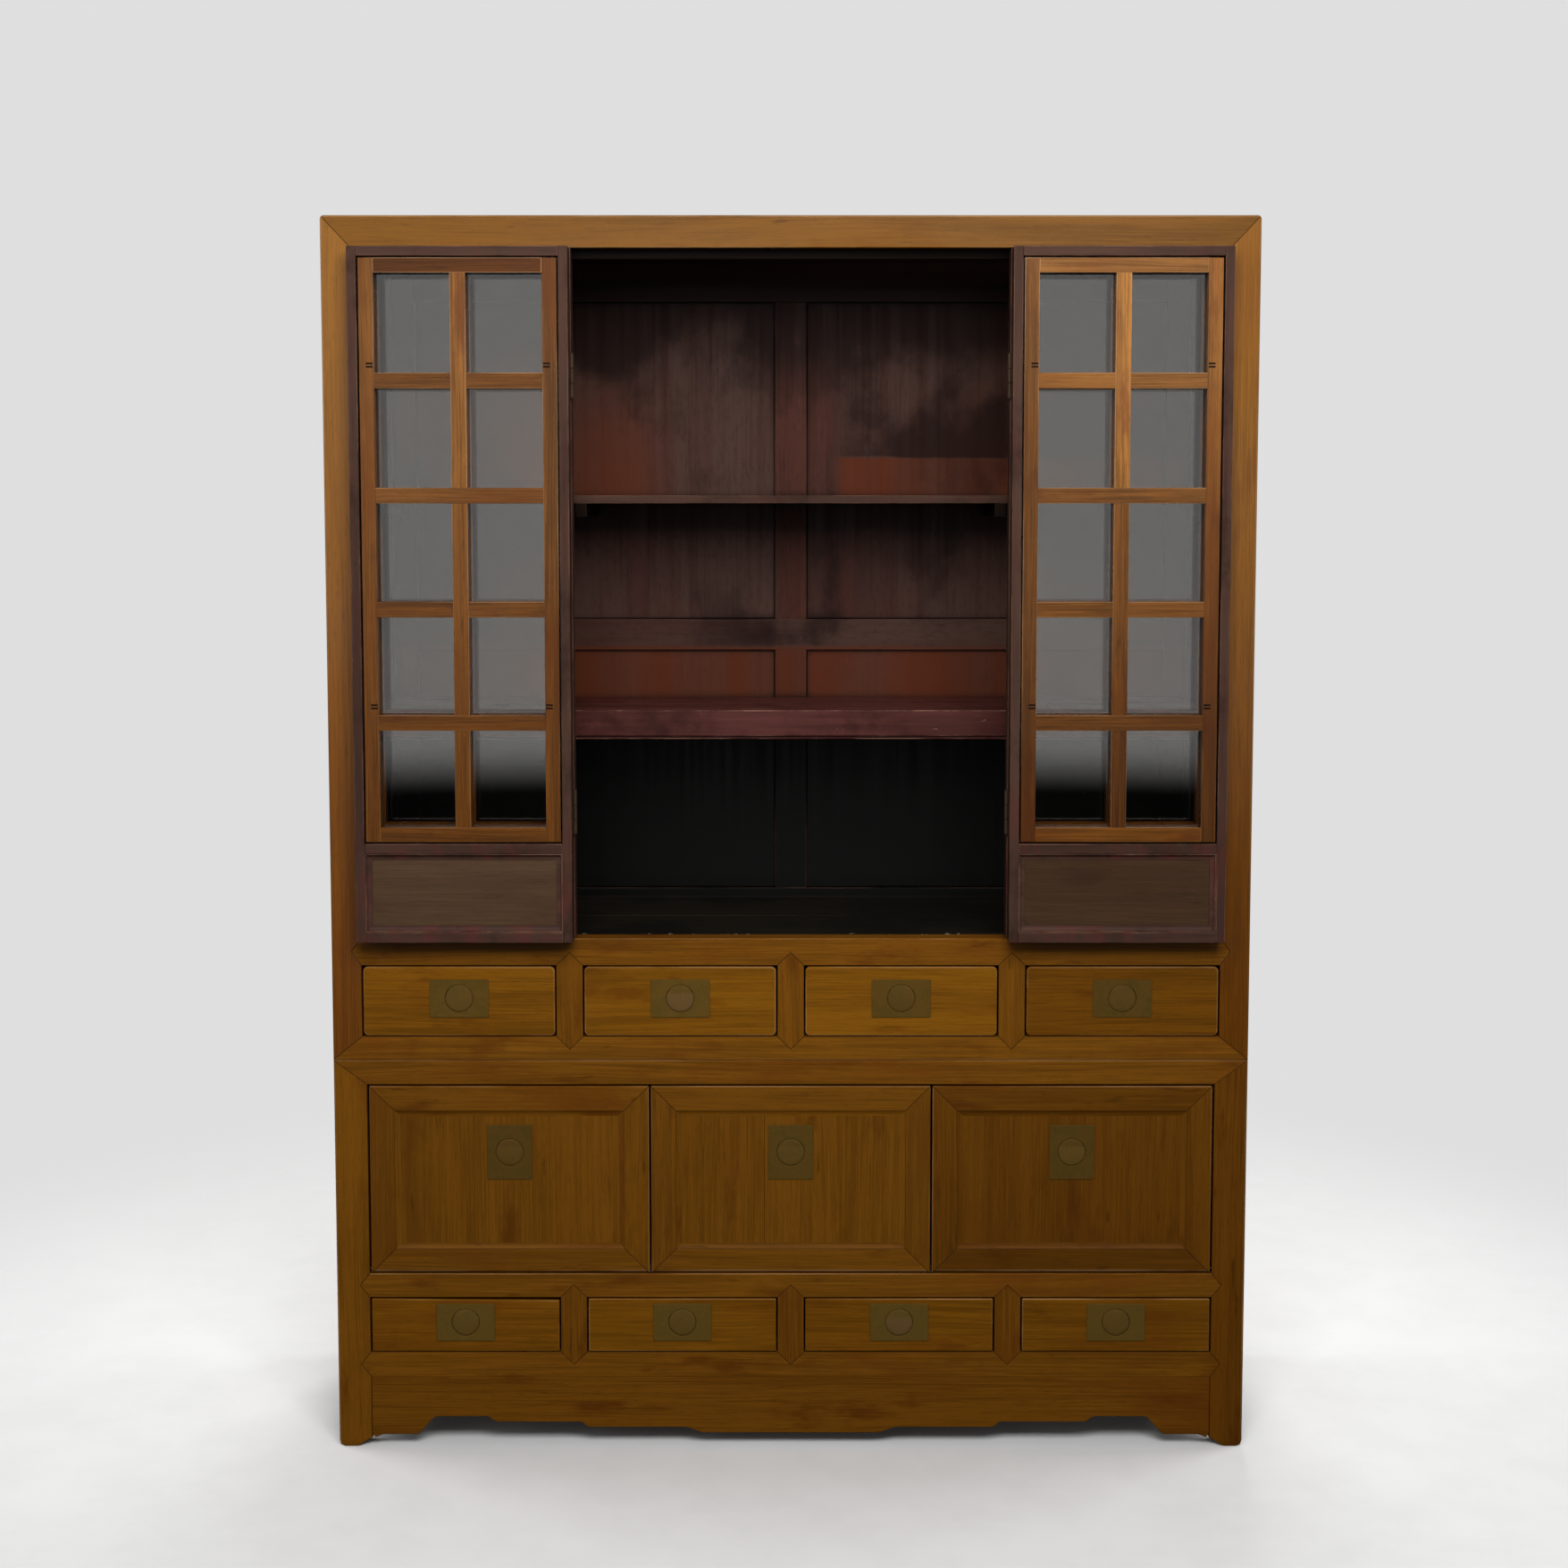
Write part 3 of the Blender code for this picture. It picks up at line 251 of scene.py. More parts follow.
class Boards:
    """Boards gathered in one mesh. Each vertex keeps its place in its own board, with the grain as x."""

    def __init__(self, name):
        self.name = name
        self.bm = bmesh.new()
        self.grain = self.bm.verts.layers.float_vector.new("grain")
        self.tone = self.bm.verts.layers.float.new("tone")
        self.arris = self.bm.faces.layers.float.new("arris")
        self.dice = random.Random(name)

    def take(self, board, along, soft=(), material=0, tone=None, edge=1.0, rubbed=()):
        """Copies a finished board in, with its grain along an axis.

        soft are its eased faces, which get the edge mark: 1 for worn, -1 for a dark seam. rubbed are worn
        anyway. tone is a number or a function of a place.
        """
        depth = AXES["Z" if along == "Y" else "Y"]
        along = AXES[along]
        across = depth.cross(along)
        tone = self.dice.uniform(-1, 1) if tone is None else tone
        tone_at = tone if callable(tone) else lambda co: tone
        shift = Vector([self.dice.uniform(0, SHIFT_REACH) for _ in range(3)])
        copies = {}
        for v in board.verts:
            made = self.bm.verts.new(v.co)
            place = Vector((v.co.dot(along), v.co.dot(across), v.co.dot(depth))) + shift
            made[self.tone] = tone_at(v.co)
            made[self.grain] = place - TONE_SHIFT * tone_at(v.co) if callable(tone) else place
            copies[v] = made
        soft, rubbed = set(soft), set(rubbed)
        for f in board.faces:
            made = self.bm.faces.new([copies[v] for v in f.verts])
            made.material_index = material
            made[self.arris] = 1.0 if f in rubbed else edge if f in soft else 0.0
        board.free()

    def shell(self, skin, along, soft=(), **settings):
        """Takes in a closed skin, with its faces turned outwards."""
        bmesh.ops.recalc_face_normals(skin, faces=skin.faces[:])
        self.take(skin, along, soft, **settings)

    def add(self, axis, outline, start, end, along, ease=None, material=0, tone=None, edge=1.0, rounds=(),
            plain=None):
        """A board: an outline pulled along an axis, with its edges eased.

        rounds are (test of an edge's two ends, radius) for edges that get a larger, worn rounding first, and
        plain is a test for edges that stay sharp.
        """
        bm = bmesh.new()
        ring = [bm.verts.new(oriented(axis, start, u, v)) for u, v in outline]
        bm.faces.new(ring)
        pulled = bmesh.ops.extrude_face_region(bm, geom=bm.faces[:])
        moved = [item for item in pulled["geom"] if isinstance(item, bmesh.types.BMVert)]
        bmesh.ops.translate(bm, verts=moved, vec=AXES[axis] * (end - start))
        bmesh.ops.recalc_face_normals(bm, faces=bm.faces[:])
        turned = bm.faces.layers.int.new("turned")
        for test, radius in rounds:
            edges = [e for e in bm.edges if test(e.verts[0].co) and test(e.verts[1].co)]
            for f in softened(bm, edges, radius, WORN_STEPS):
                f[turned] = 1
        ease = sizes().ease if ease is None else ease
        soft = []
        if ease:
            edges = [e for e in bm.edges if len(e.link_faces) == 2 and e.calc_face_angle() > EASED_OVER]
            if plain:
                edges = [e for e in edges if not (plain(e.verts[0].co) and plain(e.verts[1].co))]
            soft = softened(bm, edges, ease, EASE_STEPS)
        rubbed = [f for f in bm.faces if f[turned] and f not in soft]
        self.take(bm, along, soft, material, tone, edge, rubbed)

    def bar(self, low, high, along, **settings):
        """A board between two corners."""
        self.add("Y", rectangle(low[0], high[0], low[2], high[2]), low[1], high[1], along, **settings)

    def rings(self, loops, along, tone=None):
        """A closed skin over loops of equal length. Its second and third band count as eased."""
        bm = bmesh.new()
        made = [[bm.verts.new(p) for p in loop] for loop in loops]
        bands = [bridged(bm, a, b) for a, b in zip(made, made[1:])]
        bm.faces.new(made[-1])
        bm.faces.new(made[0])
        self.shell(bm, along, bands[1] + bands[2], tone=tone)

    def absorb(self, mesh):
        """Takes in a mesh that already carries grain, tone and arris."""
        grain, tone, arris = (mesh.attributes[label].data for label in ("grain", "tone", "arris"))
        made = []
        for v in mesh.vertices:
            copy = self.bm.verts.new(v.co)
            copy[self.grain] = grain[v.index].vector
            copy[self.tone] = tone[v.index].value
            made.append(copy)
        for p in mesh.polygons:
            face = self.bm.faces.new([made[i] for i in p.vertices])
            face[self.arris] = arris[p.index].value
        bpy.data.meshes.remove(mesh)

    def piece(self, body, materials, nodes=(), slot=None, smooth=False):
        """Makes the object, hangs it on its body and hides the CAD nodes that it stands for."""
        mesh = bpy.data.meshes.new(self.name)
        self.bm.normal_update()
        self.bm.to_mesh(mesh)
        self.bm.free()
        obj = bpy.data.objects.new(self.name, mesh)
        bpy.context.scene.collection.objects.link(obj)
        for material in materials if isinstance(materials, (list, tuple)) else [materials]:
            mesh.materials.append(material)
        if smooth:
            mesh.shade_smooth()
            mesh.set_sharp_from_angle(angle=SMOOTH_UNDER)
        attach(obj, body)
        if nodes:
            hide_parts(*nodes)


# Node trees

# How strongly tone and the painted light by height act on red, green and blue
TONE_SHARES = (1.0, 1.15, 1.4)
HEIGHT_LIGHT_SHARES = (1.0, 0.80, 0.36)


class Tree:
    """Shorthand for a tree of nodes."""

    def __init__(self, tree):
        self.tree = tree

    def feed(self, socket, value):
        if isinstance(value, bpy.types.NodeSocket):
            self.tree.links.new(value, socket)
        else:
            socket.default_value = value

    def node(self, kind, values=None, **settings):
        made = self.tree.nodes.new(kind)
        for key, value in settings.items():
            setattr(made, key, value)
        for socket, value in (values or {}).items():
            self.feed(made.inputs[socket], value)
        return made

    def math(self, operation, a, b=0.0):
        return self.node("ShaderNodeMath", {0: a, 1: b}, operation=operation).outputs[0]

    def parts(self, vector):
        return self.node("ShaderNodeSeparateXYZ", {0: vector}).outputs

    def ramp(self, value, low, high, to_low=0.0, to_high=1.0):
        values = {"Value": value, "From Min": low, "From Max": high, "To Min": to_low, "To Max": to_high}
        return self.node("ShaderNodeMapRange", values, interpolation_type="SMOOTHSTEP").outputs[0]


# Materials
class Graph(Tree):
    """Shorthand for a material that ends in one shader."""

    def __init__(self, name):
        self.material = bpy.data.materials.new(name)
        self.material.use_nodes = True
        super().__init__(self.material.node_tree)
        self.shader = self.tree.nodes["Principled BSDF"]

    def attribute(self, name):
        return self.node("ShaderNodeAttribute", attribute_name=name)

    def vector(self, operation, a, b):
        return self.node("ShaderNodeVectorMath", {0: a, 1: b}, operation=operation).outputs[0]

    def times(self, first, *others):
        for other in others:
            first = self.math("MULTIPLY", first, other)
        return first

    def plus(self, first, *others):
        for other in others:
            first = self.math("ADD", first, other)
        return first

    def spot(self):
        """Places in the frame's own axes."""
        return self.node("ShaderNodeTexCoord").outputs["Object"]

    def worn_edge(self):
        return self.math("MAXIMUM", self.attribute("arris").outputs["Fac"], 0.0)

    def noise(self, vector, scale=1.0, detail=2.0, roughness=0.5, distortion=0.0):
        values = {"Vector": vector, "Scale": scale, "Detail": detail, "Roughness": roughness}
        values["Distortion"] = distortion
        return self.node("ShaderNodeTexNoise", values).outputs[0]

    def drawn(self, place, stretch, **settings):
        """Noise drawn out by a scale for each axis."""
        return self.noise(self.vector("MULTIPLY", place, stretch), **settings)

    def mix(self, factor, a, b, blend="MIX"):
        a, b = (tint if isinstance(tint, bpy.types.NodeSocket) else (*tint, 1.0) for tint in (a, b))
        values = {0: factor, 6: a, 7: b}
        return self.node("ShaderNodeMix", values, data_type="RGBA", blend_type=blend).outputs[2]

    def scaled(self, tint, factors):
        """A colour times a factor for each of its channels."""
        lifted = self.node("ShaderNodeCombineColor", dict(enumerate(factors))).outputs[0]
        return self.mix(1.0, tint, lifted, "MULTIPLY")

    def toned(self, tint, tone, reach):
        """A colour lifted or lowered by its board's own tone. Low tones turn redder."""
        return self.scaled(tint, [self.plus(self.times(tone, reach * share), 1.0) for share in TONE_SHARES])

    def lit_by_height(self, tint, low, high, foot, head):
        """Painted light by height: a colour times one factor at a low level, where it also turns redder, and
        another at a high one, as if a lamp above lit the head more than the foot.
        """
        level = self.parts(self.spot())[2]
        feet = [foot * share for share in HEIGHT_LIGHT_SHARES]
        return self.scaled(tint, [self.ramp(level, low, high, factor, head) for factor in feet])

    def shaded_and_grimed(self, tint, shade_and_dirt, strength, uneven, reach=0.012):
        """A colour darkened in corners and seams, where ambient occlusion finds them: painted shade, with
        grime gathered there.
        """
        corner = self.node("ShaderNodeAmbientOcclusion", {"Distance": reach}, samples=6).outputs["AO"]
        depth = self.times(self.ramp(corner, 0.95, 0.45), self.ramp(uneven, 0.2, 0.6, 0.5, 1.0))
        return self.mix(self.times(depth, strength), tint, shade_and_dirt)

    def set(self, **values):
        for name, value in values.items():
            self.feed(self.shader.inputs[name.replace("_", " ")], value)

    def bump(self, height, strength, distance):
        made = self.node("ShaderNodeBump", {"Strength": strength, "Distance": distance, "Height": height})
        self.set(Normal=made.outputs[0])


def shade(tint, factor):
    return tuple(channel * factor for channel in tint)


def blended(a, b, share):
    return tuple(x + (y - x) * share for x, y in zip(a, b))


def grain_places(graph, axis=None):
    """Places along, across and through the grain: the boards' own, or a CAD node's along an axis."""
    if axis is None:
        place = graph.attribute("grain").outputs["Vector"]
        tone = graph.attribute("tone").outputs["Fac"]
        shift = graph.node("ShaderNodeCombineXYZ", {0: tone, 1: tone, 2: tone}).outputs[0]
        return graph.vector("ADD", place, graph.vector("MULTIPLY", shift, TONE_SHIFT)), tone
    turn = {"X": (0, 0, 0), "Y": (0, 0, -math.pi / 2), "Z": (0, math.pi / 2, 0)}[axis]
    return graph.node("ShaderNodeMapping", {"Vector": graph.spot(), "Rotation": turn}).outputs[0], 0.0


def polished_wood(name, base, axis=None, figure=0.16, stain=0.35, worn=0.5, rough=0.36, gloss=0.40,
                  tones=0.10, fade=None):
    """Polished close-grained wood: soft figure, fine fibres, short pores, stains, grime with painted shade in
    corners, and rubbed edges. Where asked, painted light by height is added.
    """
    g = Graph(name)
    place, tone = grain_places(g, axis)
    sway = g.drawn(place, (1.1, 4.0, 4.0), detail=1.0)
    bend = g.node("ShaderNodeCombineXYZ", {1: g.times(sway, 0.040)}).outputs[0]
    wavy = g.vector("ADD", place, bend)
    broad = g.drawn(wavy, (0.6, 11.0, 11.0), detail=4.0, distortion=0.5)
    band = g.drawn(wavy, (2.0, 75.0, 75.0), detail=3.0, roughness=0.6)
    fibre = g.drawn(wavy, (7.0, 420.0, 420.0), detail=3.0, roughness=0.6)
    pores = g.drawn(wavy, (40.0, 900.0, 900.0), detail=1.0)
    cloud = g.drawn(place, (2.5, 5.5, 5.5), detail=5.0, roughness=0.65)
    marks = g.drawn(place, (9.0, 48.0, 48.0), detail=3.0, roughness=0.6)
    blot = g.drawn(place, (6.0, 19.0, 19.0), detail=4.0, roughness=0.6)
    mixed = g.plus(g.times(broad, 0.34), g.times(band, 0.22), g.times(fibre, 0.44))
    dark, light = shade(base, 1.0 - 1.3 * figure), shade(base, 1.0 + 1.3 * figure)
    redder = (base[0] * 0.82, base[1] * 0.63, base[2] * 0.7)
    tint = g.mix(g.ramp(mixed, 0.40, 0.60), dark, light)
    tint = g.mix(g.ramp(cloud, 0.50, 0.72, 0.0, stain), tint, redder)
    tint = g.mix(g.ramp(cloud, 0.46, 0.28, 0.0, stain), tint, shade(base, 1.22))
    tint = g.mix(g.ramp(blot, 0.54, 0.72, 0.0, stain), tint, shade(redder, 0.72))
    tint = g.mix(g.ramp(marks, 0.66, 0.76, 0.0, 0.65), tint, shade(base, 0.42))
    tint = g.mix(g.ramp(pores, 0.60, 0.70, 0.0, 0.40), tint, shade(base, 0.45))
    if axis is None:
        tint = g.toned(tint, tone, tones)
        pale = blended(shade(base, 1.7), (0.40, 0.26, 0.15), 0.45)
        tint = g.mix(g.times(g.worn_edge(), g.ramp(cloud, 0.62, 0.40), worn), tint, pale)
        seam = g.math("MAXIMUM", g.times(g.attribute("arris").outputs["Fac"], -0.75), 0.0)
        tint = g.mix(seam, tint, shade(base, 0.22))
    # Painted shade, with grime, in corners and seams
    tint = g.shaded_and_grimed(tint, shade(base, 0.30), 0.55, cloud)
    # Painted light: brighter toward the head, darker and redder toward the foot
    if fade:
        tint = g.lit_by_height(tint, *fade)
    g.set(Base_Color=tint, Specular_IOR_Level=gloss)
    g.set(Roughness=g.ramp(cloud, 0.25, 0.75, rough - 0.05, rough + 0.12))
    g.bump(g.plus(g.times(fibre, 0.5), g.times(pores, -0.5)), 0.14, 0.0004)
    return g.material


def lacquered_wood(name, base, edge, streaks, rough=0.40, wear=0.7, gloss=0.22, blush=None):
    """Old lacquer over wood, with streaks of a second colour and the ground showing at rubbed edges.

    blush is a colour that shows in patches, and the levels below and above which it is full and gone.
    """
    g = Graph(name)
    place, tone = grain_places(g)
    along = g.drawn(place, (2.2, 40.0, 40.0), detail=4.0, roughness=0.65)
    fine = g.drawn(place, (9.0, 420.0, 420.0), detail=2.0)
    cloud = g.noise(place, scale=7.0, detail=5.0, roughness=0.7)
    chips = g.drawn(place, (45.0, 110.0, 110.0), detail=3.0, roughness=0.7)
    tint = g.mix(g.ramp(along, 0.38, 0.66), base, streaks)
    tint = g.mix(g.ramp(cloud, 0.50, 0.70, 0.0, 0.75), tint, shade(base, 0.45))
    tint = g.mix(g.ramp(fine, 0.52, 0.75, 0.0, 0.35), tint, shade(base, 0.4))
    if blush:
        flush, full, gone = blush
        spot = g.spot()
        patch = g.drawn(spot, (22.0, 22.0, 7.0), detail=4.0, roughness=0.65)
        patch = g.times(g.ramp(patch, 0.46, 0.64), g.ramp(g.parts(spot)[2], gone, full, 0.12, 0.62))
        tint = g.mix(patch, tint, flush)
    tint = g.toned(tint, tone, 0.12)
    rubbed = g.times(g.worn_edge(), g.ramp(cloud, 0.56, 0.40))
    spots = g.ramp(g.plus(chips, g.times(rubbed, 0.20)), 0.70, 0.78, 0.0, 0.7)
    tint = g.mix(g.math("MAXIMUM", g.times(rubbed, wear), spots), tint, edge)
    # Painted shade, with grime, in corners and seams
    tint = g.shaded_and_grimed(tint, shade(base, 0.25), 0.6, cloud, 0.008)
    g.set(Base_Color=tint, Specular_IOR_Level=gloss)
    g.set(Roughness=g.ramp(cloud, 0.3, 0.7, rough - 0.06, rough + 0.12))
    g.bump(g.plus(fine, g.times(along, 0.6)), 0.18, 0.0005)
    return g.material


# Heights between which painted shade thickens toward the top, painted light lifts the back under the top, and
# edges stop being rubbed
TOP_SHADE_LEVELS = (1.74, 1.93)
PAINTED_LIGHT_LEVELS = (1.915, 1.965)
RUB_LEVELS = (1.90, 1.86)


def inner_lacquer(name):
    """The inside of the upper case: worn red above the lower shelf, black below it, with soot in clouds,
    painted shade toward the top and painted light on the back just under the top.
    """
    red, black = tint_of("red"), tint_of("black")
    rust = (red[0] * 0.92, red[1] * 0.84, red[2] * 0.72)
    grey = (red[0] * 0.74, red[1] * 1.16, red[2] * 1.36)
    plum = (red[0] * 0.60, red[1] * 0.72, red[2] * 0.86)
    floor_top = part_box("book_floor")[1].z
    g = Graph(name)
    place, tone = grain_places(g)
    spot = g.spot()
    at = g.parts(spot)
    above = g.math("SUBTRACT", at[2], UPPER_SHELF)
    aside = g.math("ABSOLUTE", at[0])
    strokes = g.drawn(place, (0.7, 10.0, 10.0), detail=3.0, roughness=0.5, distortion=0.1)
    runs = g.drawn(place, (1.4, 62.0, 62.0), detail=4.0, roughness=0.65)
    fine = g.drawn(place, (6.0, 330.0, 330.0), detail=2.0)
    cloud = g.drawn(spot, (4.4, 4.0, 3.2), detail=6.0, roughness=0.6)
    mottle = g.drawn(place, (60.0, 150.0, 150.0), detail=4.0, roughness=0.7)
    # Brush strokes, runs and mottling of the red
    tint = g.mix(g.ramp(strokes, 0.38, 0.62), grey, plum)
    tint = g.mix(g.ramp(strokes, 0.56, 0.66, 0.0, 0.45), tint, rust)
    tint = g.mix(g.ramp(runs, 0.54, 0.60, 0.0, 0.22), tint, shade(plum, 0.60))
    tint = g.mix(g.ramp(fine, 0.50, 0.72, 0.0, 0.30), tint, shade(plum, 0.45))
    tint = g.mix(g.ramp(mottle, 0.48, 0.66, 0.0, 0.34), tint, shade(plum, 0.42))
    # Warmer red over the upper shelf, at its ends and in a line on the right, and over the lower shelf
    line = g.times(g.ramp(above, 0.070, 0.063), g.ramp(at[0], 0.07, 0.10))
    low = g.ramp(at[2], LOWER_SHELF + 0.095, LOWER_SHELF + 0.085, 0.0, 0.85)
    warm = g.times(g.ramp(above, 0.26, 0.02), g.ramp(aside, 0.17, 0.33))
    warm = g.times(g.math("MAXIMUM", warm, line), g.math("GREATER_THAN", above, -0.001))
    warm = g.times(g.math("MAXIMUM", warm, low), g.ramp(strokes, 0.30, 0.62, 0.55, 1.0))
    tint = g.mix(warm, tint, (red[0] * 1.04, red[1] * 0.74, red[2] * 0.42))
    # Soot in clouds, over the warm line and on the middle rail; darker to the right and at both sides;
    # painted shade thickening toward the top and, on the right, under the upper shelf
    smudge = g.times(g.ramp(above, 0.066, 0.072), g.ramp(above, 0.20, 0.09), g.ramp(at[0], 0.04, 0.10))
    mark = g.ramp(g.math("ABSOLUTE", g.plus(above, 0.234)), 0.05, 0.01)
    mark = g.times(mark, g.ramp(aside, 0.15, 0.02))
    # Painted shade under the upper shelf
    under = g.times(g.ramp(above, 0.0, -0.02), g.ramp(at[2], LOWER_SHELF + 0.10, LOWER_SHELF + 0.13))
    soot_and_shade = g.plus(
        g.ramp(cloud, 0.40, 0.62, 0.22, 0.62),
        # Painted shade thickening toward the top
        g.ramp(at[2], *TOP_SHADE_LEVELS, 0.0, 0.62),
        g.times(g.math("MAXIMUM", smudge, mark), 0.24),
        g.times(g.math("MAXIMUM", line, low), -0.22),
        g.ramp(at[0], -0.02, 0.30, 0.0, 0.13),
        g.ramp(aside, 0.17, 0.36, 0.0, 0.15),
        g.times(under, g.ramp(at[0], 0.0, 0.10, 0.0, 0.14)),
    )
    # Soot and painted shade darken the red
    tint = g.mix(g.ramp(soot_and_shade, 0.40, 0.84, 0.0, 0.93), tint, shade(plum, 0.26))
    # Painted light: the back just under the top is lifted out of its shade
    head = g.times(g.ramp(at[2], *PAINTED_LIGHT_LEVELS), g.ramp(at[1], BACK_FACE - 0.05, BACK_FACE - 0.01))
    tint = g.mix(head, tint, shade(plum, 2.4))
    tint = g.toned(tint, tone, 0.10)
    # Black below the lower shelf, with a trodden floor that has lost flakes at its front
    soot = g.mix(g.ramp(runs, 0.4, 0.7), black, shade(black, 1.5))
    tread = g.ramp(at[2], floor_top + 0.006, floor_top + 0.001)
    trodden = g.mix(g.ramp(cloud, 0.4, 0.6), (0.0112, 0.0090, 0.0060), (0.0064, 0.0058, 0.0045))
    soot = g.mix(tread, soot, trodden)
    flakes = g.ramp(g.noise(spot, scale=46.0, detail=3.0, roughness=0.7), 0.62, 0.65)
    flakes = g.times(flakes, g.ramp(at[1], FRAME_BACK + 0.014, FRAME_BACK + 0.006), tread)
    soot = g.mix(flakes, soot, (0.22, 0.18, 0.13))
    edge = g.plus(at[2], g.times(cloud, 0.01))
    tint = g.mix(g.ramp(edge, LOWER_SHELF - 0.012, LOWER_SHELF - 0.002), soot, tint)
    rub = g.times(g.worn_edge(), g.ramp(cloud, 0.58, 0.42), g.ramp(at[2], *RUB_LEVELS, 0.0, 0.5))
    tint = g.mix(rub, tint, (0.10, 0.05, 0.034))
    # Painted shade, with grime, in corners and seams
    tint = g.shaded_and_grimed(tint, shade(black, 0.8), 0.8, cloud, 0.016)
    g.set(Base_Color=tint, Roughness=g.ramp(runs, 0.3, 0.7, 0.40, 0.58), Specular_IOR_Level=0.14)
    g.bump(g.plus(runs, g.times(fine, 0.5)), 0.20, 0.0006)
    return g.material


def old_bronze(name, base, rough=0.46, green=0.5):
    """Dull handled bronze: clouded patina, fine rubbing marks, grime and painted shade at the rim, and
    brighter edges.
    """
    g = Graph(name)
    place, tone = grain_places(g)
    cloud = g.noise(place, scale=38.0, detail=4.0, roughness=0.65, distortion=0.6)
    rub = g.drawn(place, (30.0, 900.0, 900.0), detail=2.0)
    pits = g.noise(place, scale=420.0, detail=2.0)
    olive = (base[0] * 0.66, base[1] * 0.84, base[2] * 0.80)
    pink = (base[0] * 1.22, base[1] * 1.06, base[2] * 1.25)
    tint = g.mix(g.ramp(cloud, 0.42, 0.64, 0.0, green), base, olive)
    tint = g.mix(g.ramp(rub, 0.52, 0.70, 0.0, 0.30), tint, pink)
    tint = g.mix(g.ramp(pits, 0.62, 0.74, 0.0, 0.5), tint, shade(base, 0.40))
    # The lighter lower halves of some discs, with tones over 0.9, turn pinker: part of their painted
    # reflection
    tint = g.mix(g.ramp(tone, 0.9, 1.5), tint, (base[0] * 1.05, base[1], base[2] * 2.2))
    tint = g.toned(tint, tone, 0.18)
    tint = g.mix(g.times(g.worn_edge(), 0.25), tint, shade(pink, 1.15))
    # Painted shade, with grime, at the rim and in the gaps
    tint = g.shaded_and_grimed(tint, shade(base, 0.40), 0.3, cloud, 0.003)
    g.set(Base_Color=tint, Metallic=0.55, Specular_IOR_Level=0.25)
    g.set(Roughness=g.ramp(cloud, 0.3, 0.7, rough - 0.06, rough + 0.14))
    g.bump(g.plus(g.times(rub, 0.4), pits), 0.12, 0.0002)
    return g.material


GLASS_TINT = (0.91, 0.90, 0.87, 1.0)


def pane_glass(name):
    """Thin old sheet glass with a slight wave, which lets light through to what stands behind."""
    g = Graph(name)
    spot = g.spot()
    dust = g.noise(spot, scale=40.0, detail=4.0, roughness=0.7)
    g.set(Base_Color=GLASS_TINT, IOR=1.52, Transmission_Weight=1.0)
    g.set(Roughness=g.ramp(dust, 0.50, 0.85, 0.0, 0.05))
    g.bump(g.drawn(spot, (5.0, 1.0, 3.0), detail=1.0), 0.02, 0.001)
    clear = g.node("ShaderNodeBsdfTransparent", {"Color": GLASS_TINT}).outputs[0]
    shadow = g.node("ShaderNodeLightPath").outputs["Is Shadow Ray"]
    both = g.node("ShaderNodeMixShader", {0: shadow, 1: g.shader.outputs[0], 2: clear})
    g.feed(g.tree.nodes["Material Output"].inputs["Surface"], both.outputs[0])
    return g.material


def tint_of(name):
    return tuple(getattr(colours(), name))


def made_of(maker, tint, *values, share=1.0, **settings):
    """A kind of material in one of the cabinet's colours, to be made when its name is asked for."""
    return lambda name: maker(name, shade(tint_of(tint), share), *values, **settings)


